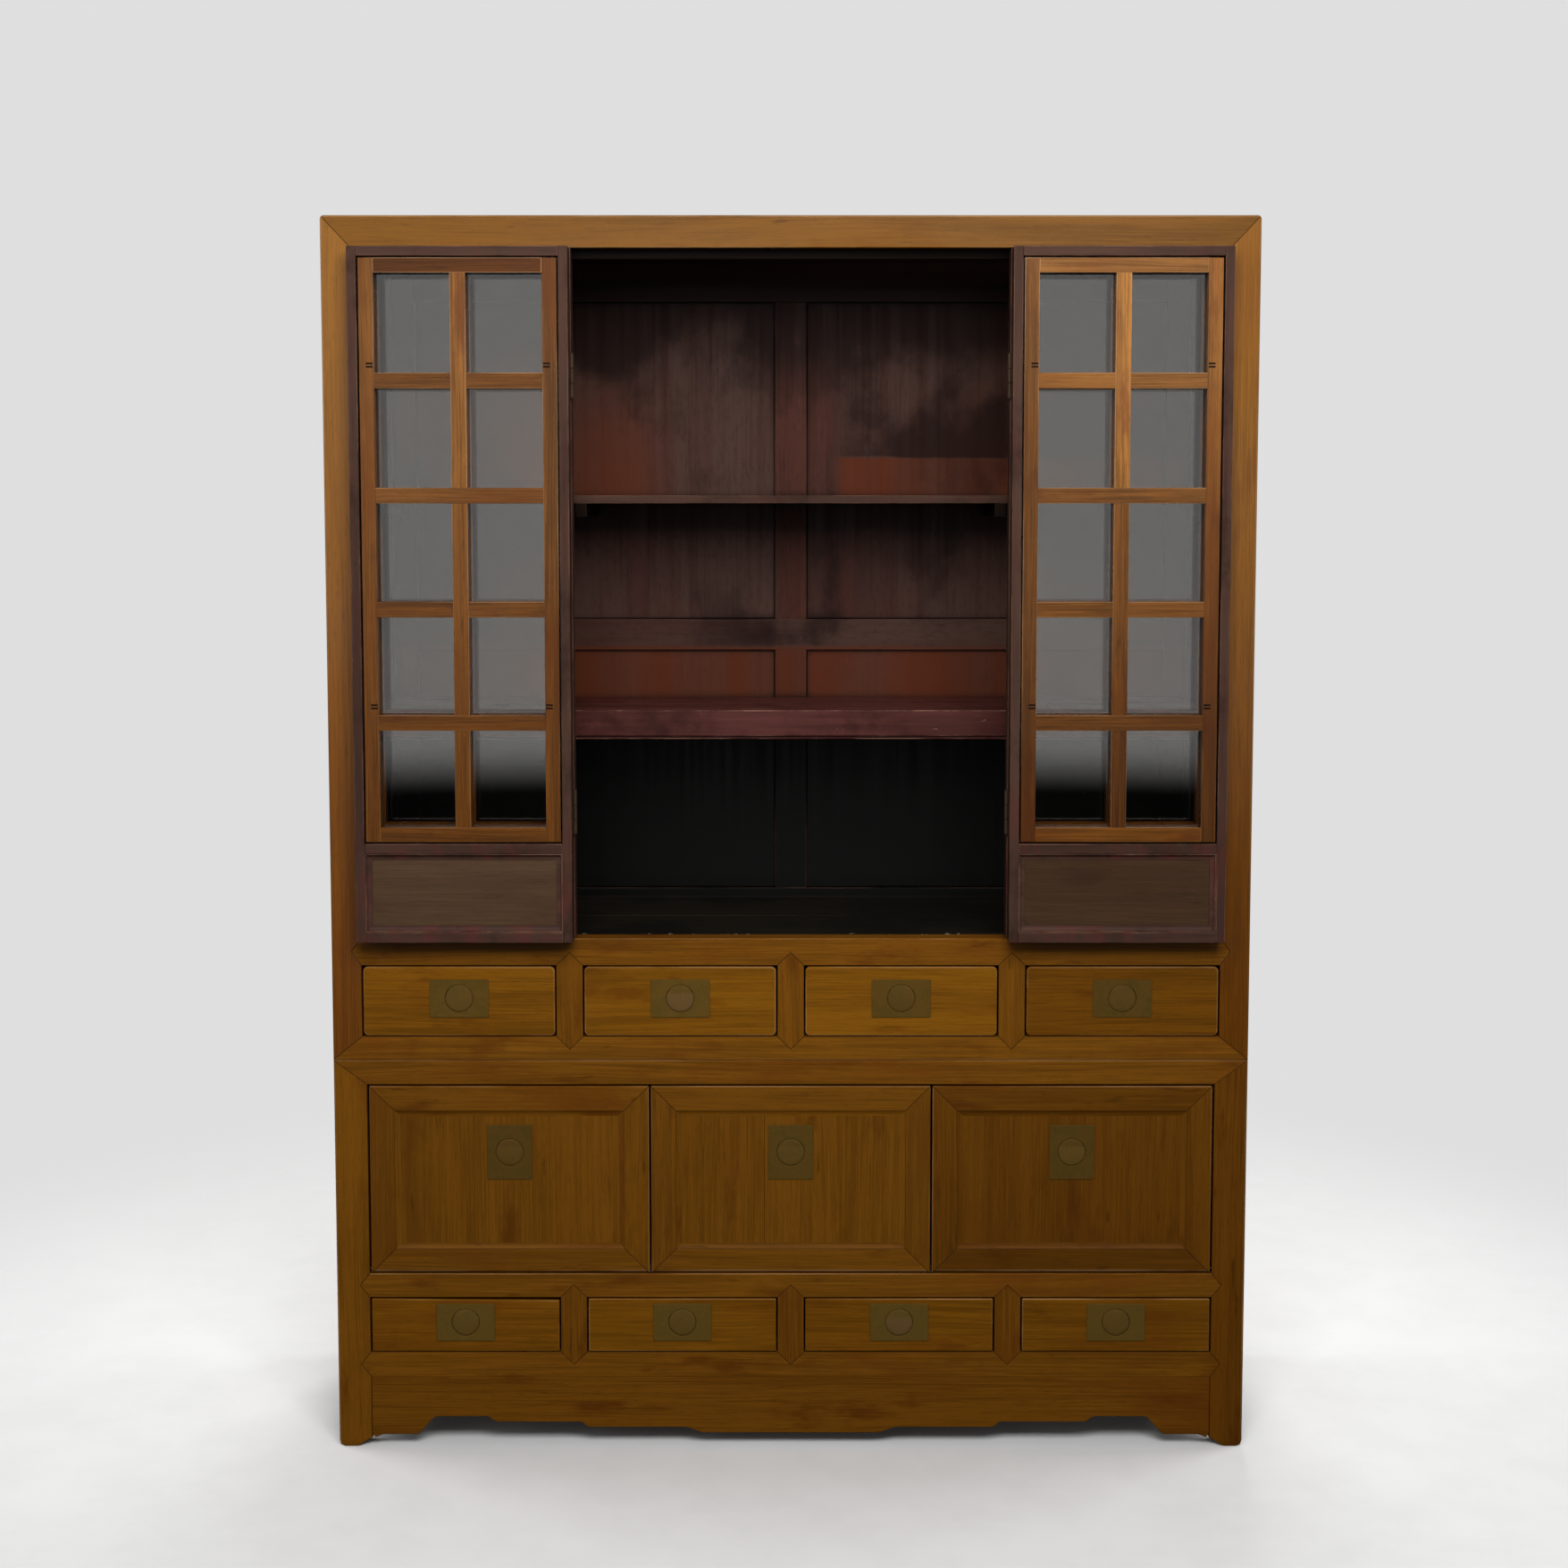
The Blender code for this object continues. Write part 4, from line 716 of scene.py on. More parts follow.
LEAF_EDGE, LEAF_STREAKS = (0.150, 0.072, 0.045), (0.062, 0.031, 0.021)
LEAF_BLUSH = ((0.082, 0.020, 0.016), 0.90, 1.25)
SHELF_EDGE, SHELF_STREAKS = (0.24, 0.12, 0.08), (0.080, 0.024, 0.020)
FINISHES = {
    "honey_polish": made_of(polished_wood, "honey", rough=0.25, gloss=0.30),
    "top_polish": made_of(polished_wood, "honey", share=0.76, figure=0.18, rough=0.25, gloss=0.26),
    # The stiles and the lattice carry painted light by height; the right stile's stronger one paints a pool
    # of light at its head and shade at its foot
    "left_polish": made_of(polished_wood, "honey", figure=0.20, rough=0.22, gloss=0.36,
                           fade=(0.85, 2.0, 0.82, 1.02)),
    "right_polish": made_of(polished_wood, "honey", figure=0.20, rough=0.22, gloss=0.30,
                            fade=(0.85, 2.0, 0.64, 1.18)),
    "lower_polish": made_of(polished_wood, "lower", figure=0.20, stain=0.75, gloss=0.14, tones=0.15),
    "drawer_polish": made_of(polished_wood, "drawer", figure=0.20, stain=0.65, worn=0.55, gloss=0.14,
                             tones=0.15),
    "panel_polish": made_of(polished_wood, "panel", figure=0.16, stain=0.7, worn=0.6, gloss=0.14, tones=0.16),
    "lattice_polish": made_of(polished_wood, "lattice", figure=0.30, stain=0.8, worn=0.9, rough=0.24,
                              gloss=0.25, tones=0.32, fade=(1.0, 1.95, 0.82, 1.40)),
    "key_wood": made_of(polished_wood, "lacquer", share=0.16, worn=0.1, gloss=0.10),
    "leaf_lacquer": made_of(lacquered_wood, "lacquer", LEAF_EDGE, LEAF_STREAKS, wear=0.55, gloss=0.17,
                            blush=LEAF_BLUSH),
    "leaf_panel": made_of(polished_wood, "leaf_panel", figure=0.13, stain=0.6, worn=0.3, rough=0.46,
                          gloss=0.20, tones=0.20),
    "shelf_lacquer": made_of(lacquered_wood, "shelf", SHELF_EDGE, SHELF_STREAKS),
    "inner_lacquer": inner_lacquer,
    "bare_wood": made_of(polished_wood, "raw", worn=0.2, rough=0.72, gloss=0.12),
    "bare_wood_long": made_of(polished_wood, "raw", "X", rough=0.72, gloss=0.12),
    "bronze_plate": made_of(old_bronze, "bronze"),
    "bronze_disc": made_of(old_bronze, "disc", green=0.4),
    "dark_brass": made_of(old_bronze, "brass", 0.42, 0.6),
    "pane_glass": pane_glass,
}


def finish(name):
    """A finish by name, made when it is first asked for."""
    return bpy.data.materials.get(name) or FINISHES[name](name)


def dress(node, look):
    """Gives a CAD node that stays as it is a finish."""
    mesh = frame["nodes"][node].data
    mesh.materials.clear()
    mesh.materials.append(finish(look))


# Geometry Nodes
LINE_INPUTS = (("First", "Vector"), ("Step", "Vector"), ("Count", "Int"), ("Tone", "Float"), ("Seed", "Int"),
               ("Material", "Material"))
TONE_SPREAD = 0.3
SQUARE_OVER = 0.97


class Weave(Tree):
    """Shorthand for a geometry tree that repeats a shape along a line."""

    def __init__(self, name, inputs):
        super().__init__(bpy.data.node_groups.new(name, "GeometryNodeTree"))
        face = self.tree.interface
        for label, kind in (*LINE_INPUTS, *inputs):
            face.new_socket(label, in_out="INPUT", socket_type="NodeSocket" + kind)
        face.new_socket("Geometry", in_out="OUTPUT", socket_type="NodeSocketGeometry")
        self.start = self.node("NodeGroupInput")
        self.end = self.node("NodeGroupOutput")

    def given(self, label):
        return self.start.outputs[label]

    def store(self, geometry, label, kind, domain, value):
        values = {"Geometry": geometry, "Name": label, "Value": value}
        return self.node("GeometryNodeStoreNamedAttribute", values, data_type=kind, domain=domain).outputs[0]

    def eased(self):
        """1 on faces that don't lie square to the axes."""
        normal = self.node("GeometryNodeInputNormal").outputs[0]
        size = self.node("ShaderNodeVectorMath", {0: normal}, operation="ABSOLUTE").outputs[0]
        xyz = self.parts(size)
        largest = self.math("MAXIMUM", self.math("MAXIMUM", xyz[0], xyz[1]), xyz[2])
        return self.math("LESS_THAN", largest, SQUARE_OVER)

    def repeat(self, shape, turn):
        """Sets turned copies of a shape along the line, each with its own tone, and makes them real."""
        position = self.node("GeometryNodeInputPosition").outputs[0]
        shape = self.store(shape, "grain", "FLOAT_VECTOR", "POINT", position)
        shape = self.store(shape, "arris", "FLOAT", "FACE", self.eased())
        line = {"Count": self.given("Count"), "Start Location": self.given("First")}
        points = self.node("GeometryNodeMeshLine", {**line, "Offset": self.given("Step")}).outputs[0]
        turn = self.node("FunctionNodeEulerToRotation", {0: turn}).outputs[0]
        values = {"Points": points, "Instance": shape, "Rotation": turn}
        copies = self.node("GeometryNodeInstanceOnPoints", values).outputs[0]
        dice = self.node("FunctionNodeRandomValue", {"Seed": self.given("Seed")}, data_type="FLOAT")
        dice.inputs[2].default_value = -TONE_SPREAD
        dice.inputs[3].default_value = TONE_SPREAD
        tone = self.math("ADD", dice.outputs[1], self.given("Tone"))
        toned = self.store(copies, "tone", "FLOAT", "INSTANCE", tone)
        real = self.node("GeometryNodeRealizeInstances", {0: toned}).outputs[0]
        values = {"Geometry": real, "Material": self.given("Material")}
        self.feed(self.end.inputs[0], self.node("GeometryNodeSetMaterial", values).outputs[0])
        return self.tree


def lattice_tree():
    """A row of equal bars with eased long edges, each with its own grain and tone."""
    w = Weave("lattice_bars", [(label, "Float") for label in ("Length", "Width", "Depth", "Ease", "Turn")])
    half = w.math("MULTIPLY", w.given("Length"), 0.5)
    other = w.math("MULTIPLY", half, -1.0)
    near = w.node("ShaderNodeCombineXYZ", {0: other}).outputs[0]
    far = w.node("ShaderNodeCombineXYZ", {0: half}).outputs[0]
    path = w.node("GeometryNodeCurvePrimitiveLine", {"Start": near, "End": far}).outputs[0]
    across = {"Width": w.given("Depth"), "Height": w.given("Width")}
    section = w.node("GeometryNodeCurvePrimitiveQuadrilateral", across).outputs[0]
    corners = {"Curve": section, "Radius": w.given("Ease"), "Count": 2}
    section = w.node("GeometryNodeFilletCurve", corners, mode="POLY").outputs[0]
    values = {"Curve": path, "Profile Curve": section, "Fill Caps": True}
    bar = w.node("GeometryNodeCurveToMesh", values).outputs[0]
    return w.repeat(bar, w.node("ShaderNodeCombineXYZ", {1: w.given("Turn")}).outputs[0])


def stud_tree():
    """Equal round studs along a line: nail heads, hinge knuckles and the heads of hinge pins."""
    inputs = [(label, "Float") for label in ("Radius", "Length", "Crown")]
    w = Weave("stud_row", inputs + [("Turn", "Vector"), ("Sides", "Int")])
    inner = w.math("SUBTRACT", w.given("Radius"), w.given("Crown"))
    tall = w.math("ADD", w.given("Length"), w.math("MULTIPLY", w.given("Crown"), 2.0))
    both = w.node("GeometryNodeJoinGeometry")
    for radius, depth in ((w.given("Radius"), w.given("Length")), (inner, tall)):
        values = {"Vertices": w.given("Sides"), "Radius": radius, "Depth": depth}
        drum = w.node("GeometryNodeMeshCylinder", values).outputs["Mesh"]
        w.feed(both.inputs[0], drum)
    skin = w.node("GeometryNodeConvexHull", {0: both.outputs[0]}).outputs[0]
    return w.repeat(skin, w.given("Turn"))


TREES = {"lattice_bars": lattice_tree, "stud_row": stud_tree}


def grown(tree_name, **inputs):
    """The plain mesh that a geometry tree makes from these inputs."""
    tree = bpy.data.node_groups.get(tree_name) or TREES[tree_name]()
    holder = bpy.data.objects.new("grower", bpy.data.meshes.new("grower"))
    bpy.context.scene.collection.objects.link(holder)
    modifier = holder.modifiers.new("grow", "NODES")
    modifier.node_group = tree
    for item in tree.interface.items_tree:
        if item.in_out == "INPUT":
            modifier[item.identifier] = inputs[item.name]
    graph = bpy.context.evaluated_depsgraph_get()
    mesh = bpy.data.meshes.new_from_object(holder.evaluated_get(graph))
    holder.modifiers.clear()
    shell = holder.data
    bpy.data.objects.remove(holder)
    bpy.data.meshes.remove(shell)
    return mesh


# Face frames

# Tone of each member of the two frames and of the apron
MEMBER_TONES = {
    "upper_left_stile": 0.2, "upper_right_stile": 0.2, "upper_top_rail": 0.0, "upper_middle_rail": -0.6,
    "upper_foot_rail": 0.3, "lower_left_leg": 0.0, "lower_right_leg": -2.2, "lower_top_rail": -0.4,
    "lower_middle_rail": 0.3, "lower_foot_rail": -0.2, "cusped_apron": -0.9,
}
DIVIDER_TONE = -0.9
CORNER_ROUND = 0.006
CORNER_STEPS = 4
TOE_FLAT = 0.028
TOE_RISE = 0.013
TOE_ROUND = 0.010
ON_LINE = 1e-5
# Pins of the lower doors: radius, reach to each side of a gap, and depth in a leg
PIN_RADIUS = 0.0025
PIN_REACH = 0.010
PIN_SUNK = 0.002
# Plates that carry the pins: depths behind the face, reach below the opening and over the pin, half thickness
PIN_PLATE_DEPTHS = (0.0005, 0.015)
PIN_PLATE_UNDER = 0.002
PIN_PLATE_OVER = 0.006
PIN_PLATE_HALF = 0.001


def notched(row, edge, reach):
    """An edge of a rail from left to right, with the dividers' points let into it."""
    end, half = open_half(row), sizes().divider / 2
    line = [(-end, edge)]
    for x in dividers(row):
        line += [(x - half, edge), (x, edge + reach), (x + half, edge)]
    return line + [(end, edge)]


def pointed_rail(row, edge, reach, point, other):
    """A rail with the dividers let into one edge, its ends pointed at a level, and another, straight edge."""
    end, tip = open_half(row), open_half(row) + sizes().point
    return notched(row, edge, reach) + [(tip, point), (end, other), (-end, other), (-tip, point)]


def member(name, outline, along, nodes=(), look="lower_polish", rounds=(), plain=None, back=FRAME_BACK):
    """One board of a face frame, with dark seams where it meets its neighbours."""
    boards = Boards(name)
    tone = MEMBER_TONES.get(name, DIVIDER_TONE)
    boards.add("Y", outline, FACE, back, along, tone=tone, edge=-1.0, rounds=rounds, plain=plain)
    boards.piece("case", finish(look), nodes, "honey_wood")


def on_level(z):
    """Picks the edges at a height."""
    return lambda co: abs(co.z - z) < ON_LINE


def front_edge(x=None, z=None):
    """Picks the edges of a front face that lie at a given x or z."""

    def test(co):
        off = abs(co.x - x) if x is not None else abs(co.z - z)
        return off < ON_LINE and abs(co.y - FACE) < ON_LINE

    return test


def outer_front_edge(high):
    """Picks the edges of the upper frame's front face that lie on its outer border and round corners."""

    def test(co):
        over = abs(co.x) - HALF + CORNER_ROUND, co.z - high + CORNER_ROUND
        reach = math.hypot(*over) if min(over) > 0 else max(over)
        return abs(reach - CORNER_ROUND) < ON_LINE and abs(co.y - FACE) < ON_LINE

    return test


def rounded_corner(high, start, end):
    """Part of the upper frame's rounded top right corner, between two angles in degrees."""
    turns = [math.radians(start + (end - start) * i / CORNER_STEPS) for i in range(CORNER_STEPS + 1)]
    x, z = HALF - CORNER_ROUND, high - CORNER_ROUND
    return [(x + CORNER_ROUND * math.cos(t), z + CORNER_ROUND * math.sin(t)) for t in turns]


def upper_frame():
    s, z = sizes(), levels()
    half = open_half("upper")
    low, high = UPPER_LOW.z, UPPER_HIGH.z
    middle = (z["upper_row_high"] + z["book_low"]) / 2
    rim = [(outer_front_edge(high), s.post_round)]
    post = [(HALF, low)] + rounded_corner(high, 0, 45) + [(half, z["book_high"]), (half, z["book_low"])]
    post += [(half + s.point, middle), (half, z["upper_row_high"]), (half, z["upper_row_low"])]
    for side, out in SIDES:
        nodes = ["upper_face_frame"] if side == "left" else []
        outline = [(out * x, v) for x, v in post]
        member(f"upper_{side}_stile", outline, "Z", nodes, f"{side}_polish", rim)
    corner = rounded_corner(high, 90, 45)
    rail = mirrored(corner)[::-1] + corner + [(half, z["book_high"]), (-half, z["book_high"])]
    rounds = rim + [(front_edge(z=z["book_high"]), s.rub)]
    member("upper_top_rail", rail, "X", look="top_polish", rounds=rounds)
    rail = pointed_rail("upper", z["upper_row_high"], s.dart, middle, z["book_low"])
    member("upper_middle_rail", rail, "X", rounds=[(front_edge(z=z["book_low"]), s.rub)])
    rail = notched("upper", z["upper_row_low"], -s.dart) + [(HALF, low), (-HALF, low)]
    member("upper_foot_rail", rail, "X", rounds=[(front_edge(z=low), s.rub)])
    row_dividers("upper", z["upper_row_low"], z["upper_row_high"])


def row_dividers(row, low, high):
    s = sizes()
    half = s.divider / 2
    for i, x in enumerate(dividers(row)):
        outline = [(x - half, low), (x, low - s.dart), (x + half, low), (x + half, high)]
        outline += [(x, high + s.dart), (x - half, high)]
        member(f"{row}_divider_{i + 1}", outline, "Z")


def lower_frame():
    s, z = sizes(), levels()
    half = open_half("lower")
    high, foot = LOWER_HIGH.z, APRON_TOP + SEAT
    upper_point = (z["lower_row_high"] + z["door_low"]) / 2
    lower_point = (foot + z["lower_row_low"]) / 2
    nick = 0.3 * TOE_ROUND
    post = [(HALF, high), (HALF, TOE_ROUND), (HALF - nick, nick), (HALF - TOE_ROUND, 0.0)]
    post += cyma((HALF - TOE_FLAT, 0.0), (half, TOE_RISE)) + [(half, TOE_RISE), (half, foot)]
    post += [(half + s.point, lower_point), (half, z["lower_row_low"]), (half, z["lower_row_high"])]
    post += [(half + s.point, upper_point), (half, z["door_low"]), (half, z["door_high"])]
    for side, out in SIDES:
        nodes = ["lower_face_frame"] if side == "left" else []
        outline = [(out * x, v) for x, v in post]
        member(f"lower_{side}_leg", outline, "Z", nodes, rounds=[(front_edge(x=out * HALF), s.post_round)])
    rail = [(-HALF, high), (-half, z["door_high"]), (half, z["door_high"]), (HALF, high)]
    member("lower_top_rail", rail, "X", rounds=[(front_edge(z=high), s.rub)])
    rail = pointed_rail("lower", z["lower_row_high"], s.dart, upper_point, z["door_low"])
    member("lower_middle_rail", rail, "X", rounds=[(front_edge(z=z["door_low"]), s.rub)])
    rail = pointed_rail("lower", z["lower_row_low"], -s.dart, lower_point, foot)
    member("lower_foot_rail", rail, "X", plain=on_level(foot))
    row_dividers("lower", z["lower_row_low"], z["lower_row_high"])
    door_pins(half)


def door_pins(half):
    """The pins that the lower doors turn on, and the thin plates that carry them between the doors."""
    axis = JOINT["door_1_tip"]
    boards = Boards("door_pins")
    ring = circle(PIN_RADIUS, ROD_STEPS, axis.y, axis.z)
    for out in (-1, 1):
        ends = sorted((out * (half + PIN_SUNK), out * (half - PIN_REACH)))
        boards.add("X", ring, ends[0], ends[1], "X", ease=0.0)
    near, far = PIN_PLATE_DEPTHS
    foot, head = levels()["door_low"] - PIN_PLATE_UNDER, axis.z + PIN_PLATE_OVER
    plate = rectangle(FACE + near, FACE + far, foot, head)
    places = [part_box(f"lower_door_{i}") for i in (1, 2, 3)]
    for left, right in zip(places, places[1:]):
        x = (left[1].x + right[0].x) / 2
        boards.add("X", ring, x - PIN_REACH, x + PIN_REACH, "X", ease=0.0)
        boards.add("X", plate, x - PIN_PLATE_HALF, x + PIN_PLATE_HALF, "Z", ease=0.0)
    boards.piece("case", finish("dark_brass"))


APRON_THICK = 0.0215
# The apron's lower edge, from its end inwards: notch, spur and its start, arch and its start and end, cusps
APRON_NOTCH = 0.004
APRON_LIFT = 0.002
APRON_SPUR = 0.020
SPUR_IN = 0.020
APRON_ARCH = 0.050
ARCH_IN = (0.072, 0.108)
CUSP_STEPS = 8
APRON_CUSPS = ((0.500, 0.482, 0.041), (0.346, 0.331, 0.032), (0.177, 0.140, 0.0227))


def apron():
    end = open_half("lower") - SEAT
    spur = (end - SPUR_IN, APRON_SPUR)
    notch = (end - APRON_NOTCH, TOE_RISE + APRON_NOTCH)
    edge = [(end, notch[1] + APRON_NOTCH), notch]
    edge += cyma((end - APRON_NOTCH, TOE_RISE + APRON_LIFT), spur) + [spur]
    arch = (end - ARCH_IN[1], APRON_ARCH)
    edge += cyma((end - ARCH_IN[0], APRON_SPUR), arch) + [arch]
    level = APRON_ARCH
    for outer, inner, height in APRON_CUSPS:
        edge += cyma((outer, level), (inner, height), CUSP_STEPS) + [(inner, height)]
        level = height
    outline = [(-end, APRON_TOP)] + mirrored(edge) + edge[::-1] + [(end, APRON_TOP)]
    member("cusped_apron", outline, "X", ["apron"], plain=on_level(APRON_TOP), back=FACE + APRON_THICK)


# Case boards
SIDE_STILE = 0.046
SIDE_SUNK = 0.008
SKIRT = 0.062
LOWER_SIDE_TONES = {"stile": -0.6, "skirt": -0.7, "rail": -0.5, "panel": -0.4}
# Top boards: thickness of both layers, of the outer one, and depth and tone of the stop that the leaves meet.
# The stop's low tone darkens it as painted shade under the top
TOP_BOARD = 0.018
TOP_SKIN = 0.010
STOP_DEEP = 0.016
STOP_SHADE_TONE = -6.5
BOOK_FLOOR = 0.018
# Backs: stiles, grooves round panels, and places of the rails from the openings' edges
BACK_STILE = 0.055
BACK_GROOVE = 0.0018
BACK_RAIL = 0.018
BACK_MIDDLE = (0.443, 0.497)
BACK_HEAD = 0.052
# Shelves: boards, bearers and where they start, battens, and the lower shelf's front rail
SHELF_THICK = {"upper_shelf": 0.013, "lower_shelf": 0.016}
BEARER_WIDE = 0.016
BEARER_TALL = 0.020
BEARER_START = 0.0265
BATTEN_AT = 0.345
BATTEN_HALF = 0.009
SHELF_RAIL = 0.043
SHELF_RAIL_DEEP = 0.026
SHELF_RAIL_EASE = 0.0015
SHELF_BEAD_IN = 0.006
SHELF_BEAD_EASE = 0.002


def side_layers(boards, outline, out, along, sunk=0.0, tone=None):
    """One board of a side, as an outer half and an inner half with its own finish."""
    middle = HALF - SIDE_IN / 2
    faces = ((out * (HALF - sunk), out * middle, 0), (out * middle, out * (HALF - SIDE_IN + sunk), 1))
    for a, b, material in faces:
        boards.add("X", outline, min(a, b), max(a, b), along, material=material, tone=tone)


def parted(low, high, at):
    """A span, cut at a place if that lies inside it."""
    return [(low, at), (at, high)] if low < at < high else [(low, high)]


def lacquered_side(boards, place, out, along, sunk=0.0):
    """One board of an upper side: polished outside, lacquered inside up to the back and the top boards."""
    a, b, foot, head = place
    middle, wall = HALF - SIDE_IN / 2, HALF - SIDE_IN + sunk
    tone = boards.dice.uniform(-1, 1)
    x0, x1 = sorted((out * (HALF - sunk), out * middle))
    boards.add("X", rectangle(a, b, foot, head), x0, x1, along, tone=tone)
    x0, x1 = sorted((out * middle, out * wall))
    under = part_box("upper_top")[1].z - TOP_BOARD
    for y0, y1 in parted(a, b, BACK_FACE):
        for z0, z1 in parted(foot, head, under):
            inside = y0 < BACK_FACE and z0 < under
            boards.add("X", rectangle(y0, y1, z0, z1), x0, x1, along, material=int(inside), tone=tone)


def upper_sides():
    z = levels()
    y0, y1 = FRAME_BACK + SEAT, REAR
    a, b = y0 + SIDE_STILE, y1 - SIDE_STILE
    low, high = UPPER_LOW.z, UPPER_HIGH.z
    bands = [(low, z["upper_row_low"]), (z["upper_row_high"], z["book_low"])]
    bands += [(LOWER_SHELF - SHELF_RAIL, LOWER_SHELF), (z["book_high"], high)]
    wall = HALF - SIDE_IN
    looks = [finish("honey_polish"), finish("inner_lacquer")]
    for side, out in SIDES:
        boards = Boards(f"upper_{side}_side")
        for near, far in ((y0, a), (b, y1)):
            lacquered_side(boards, (near, far, low, high), out, "Z")
        for foot, head in bands:
            lacquered_side(boards, (a, b, foot, head), out, "Y")
        for (_, foot), (head, _) in zip(bands, bands[1:]):
            lacquered_side(boards, (a, b, foot, head), out, "Z", SIDE_SUNK)
        for node in ("lower_shelf", "upper_shelf"):
            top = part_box(node)[1].z - SHELF_THICK[node] - SEAT
            x0, x1 = sorted((out * wall, out * (wall - BEARER_WIDE)))
            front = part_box(node)[0].y + BEARER_START
            boards.bar((x0, front, top - BEARER_TALL), (x1, BACK_FACE - SEAT, top), "Y", material=1)
        boards.piece("case", looks, [f"upper_side_{side}"], "honey_wood")


def lower_sides():
    z = levels()
    y0, y1 = FRAME_BACK + SEAT, REAR
    a, leg = y0 + SIDE_STILE, y1 - sizes().leg
    high, row_low = LOWER_HIGH.z, z["lower_row_low"]
    toe = cyma((y1 - TOE_FLAT, 0.0), (leg, TOE_RISE)) + [(leg, TOE_RISE)]
    rear_leg = [(y1, high), (leg, high)] + toe[::-1] + [(y1, 0.0)]
    knee = (leg - SKIRT / 2, SKIRT)
    skirt = cyma((leg, TOE_RISE), knee) + [knee, (y0, SKIRT), (y0, row_low), (leg, row_low)]
    tones = LOWER_SIDE_TONES
    looks = [finish("lower_polish"), finish("bare_wood")]
    for side, out in SIDES:
        boards = Boards(f"lower_{side}_side")
        side_layers(boards, rectangle(y0, a, row_low, high), out, "Z", tone=tones["stile"])
        side_layers(boards, rear_leg, out, "Z", tone=tones["stile"])
        side_layers(boards, skirt, out, "Y", tone=tones["skirt"])
        for foot, head in ((z["lower_row_high"], z["door_low"]), (z["door_high"], high)):
            side_layers(boards, rectangle(a, leg, foot, head), out, "Y", tone=tones["rail"])
        for foot, head in ((row_low, z["lower_row_high"]), (z["door_low"], z["door_high"])):
            side_layers(boards, rectangle(a, leg, foot, head), out, "Z", SIDE_SUNK, tones["panel"])
        boards.piece("case", looks, [f"lower_side_{side}"], "honey_wood")


def back_layers(boards, place, along, sunk=0.0):
    """One board of a back, as a front and a rear half. A sunk one has an open groove round its front."""
    x0, x1, z0, z1 = place
    middle = (BACK_FACE + BACK_REAR) / 2
    groove = BACK_GROOVE if sunk else 0.0
    front = rectangle(x0 + groove, x1 - groove, z0 + groove, z1 - groove)
    boards.add("Y", front, BACK_FACE + sunk, middle - groove, along, material=0)
    if sunk:
        boards.add("Y", rectangle(*place), middle - groove, middle, along, material=0)
    boards.add("Y", rectangle(*place), middle, BACK_REAR - sunk, along, material=1)


def framed_back(name, node, low, high, bands, columns, inner):
    """A back of stiles, muntins and rails with sunk panels. bands are the rails, columns the uprights."""
    boards = Boards(name)
    for x0, x1 in (columns[0], columns[-1]):
        back_layers(boards, (x0, x1, low, high), "Z")
    left, right = columns[0][1], columns[-1][0]
    for foot, head in bands:
        back_layers(boards, (left, right, foot, head), "X")
    for (_, foot), (head, _) in zip(bands, bands[1:]):
        for x0, x1 in columns[1:-1]:
            back_layers(boards, (x0, x1, foot, head), "Z")
        for (_, x0), (x1, _) in zip(columns, columns[1:]):
            back_layers(boards, (x0, x1, foot, head), "Z", SIDE_SUNK)
    boards.piece("case", [finish(inner), finish("bare_wood")], [node])


def backs():
    z = levels()
    wide = BACK_STILE
    low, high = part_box("upper_back")[0].z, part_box("upper_back")[1].z
    columns = [(-INSIDE, -INSIDE + wide), (-wide / 2, wide / 2), (INSIDE - wide, INSIDE)]
    foot = z["book_low"]
    bands = [(low, foot + BACK_RAIL), (foot + BACK_MIDDLE[0], foot + BACK_MIDDLE[1])]
    bands.append((z["book_high"] - BACK_HEAD, high))
    framed_back("upper_framed_back", "upper_back", low, high, bands, columns, "inner_lacquer")
    low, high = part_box("lower_back")[0].z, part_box("lower_back")[1].z
    step = (2 * INSIDE - 4 * wide) / 3 + wide
    columns = [(-INSIDE + i * step, -INSIDE + i * step + wide) for i in range(4)]
    bands = [(low, z["door_low"] + BACK_RAIL), (z["door_high"] - BACK_RAIL, high)]
    framed_back("lower_framed_back", "lower_back", low, high, bands, columns, "bare_wood")


def planks(boards, node, count, top, bottom, front=None, material=0):
    """Boards laid side by side from front to back, with the grain from side to side."""
    low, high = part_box(node)
    y0 = low.y if front is None else front
    step = (high.y - y0) / count
    for i in range(count):
        boards.bar((low.x, y0 + i * step, bottom), (high.x, y0 + (i + 1) * step, top), "X", material=material)


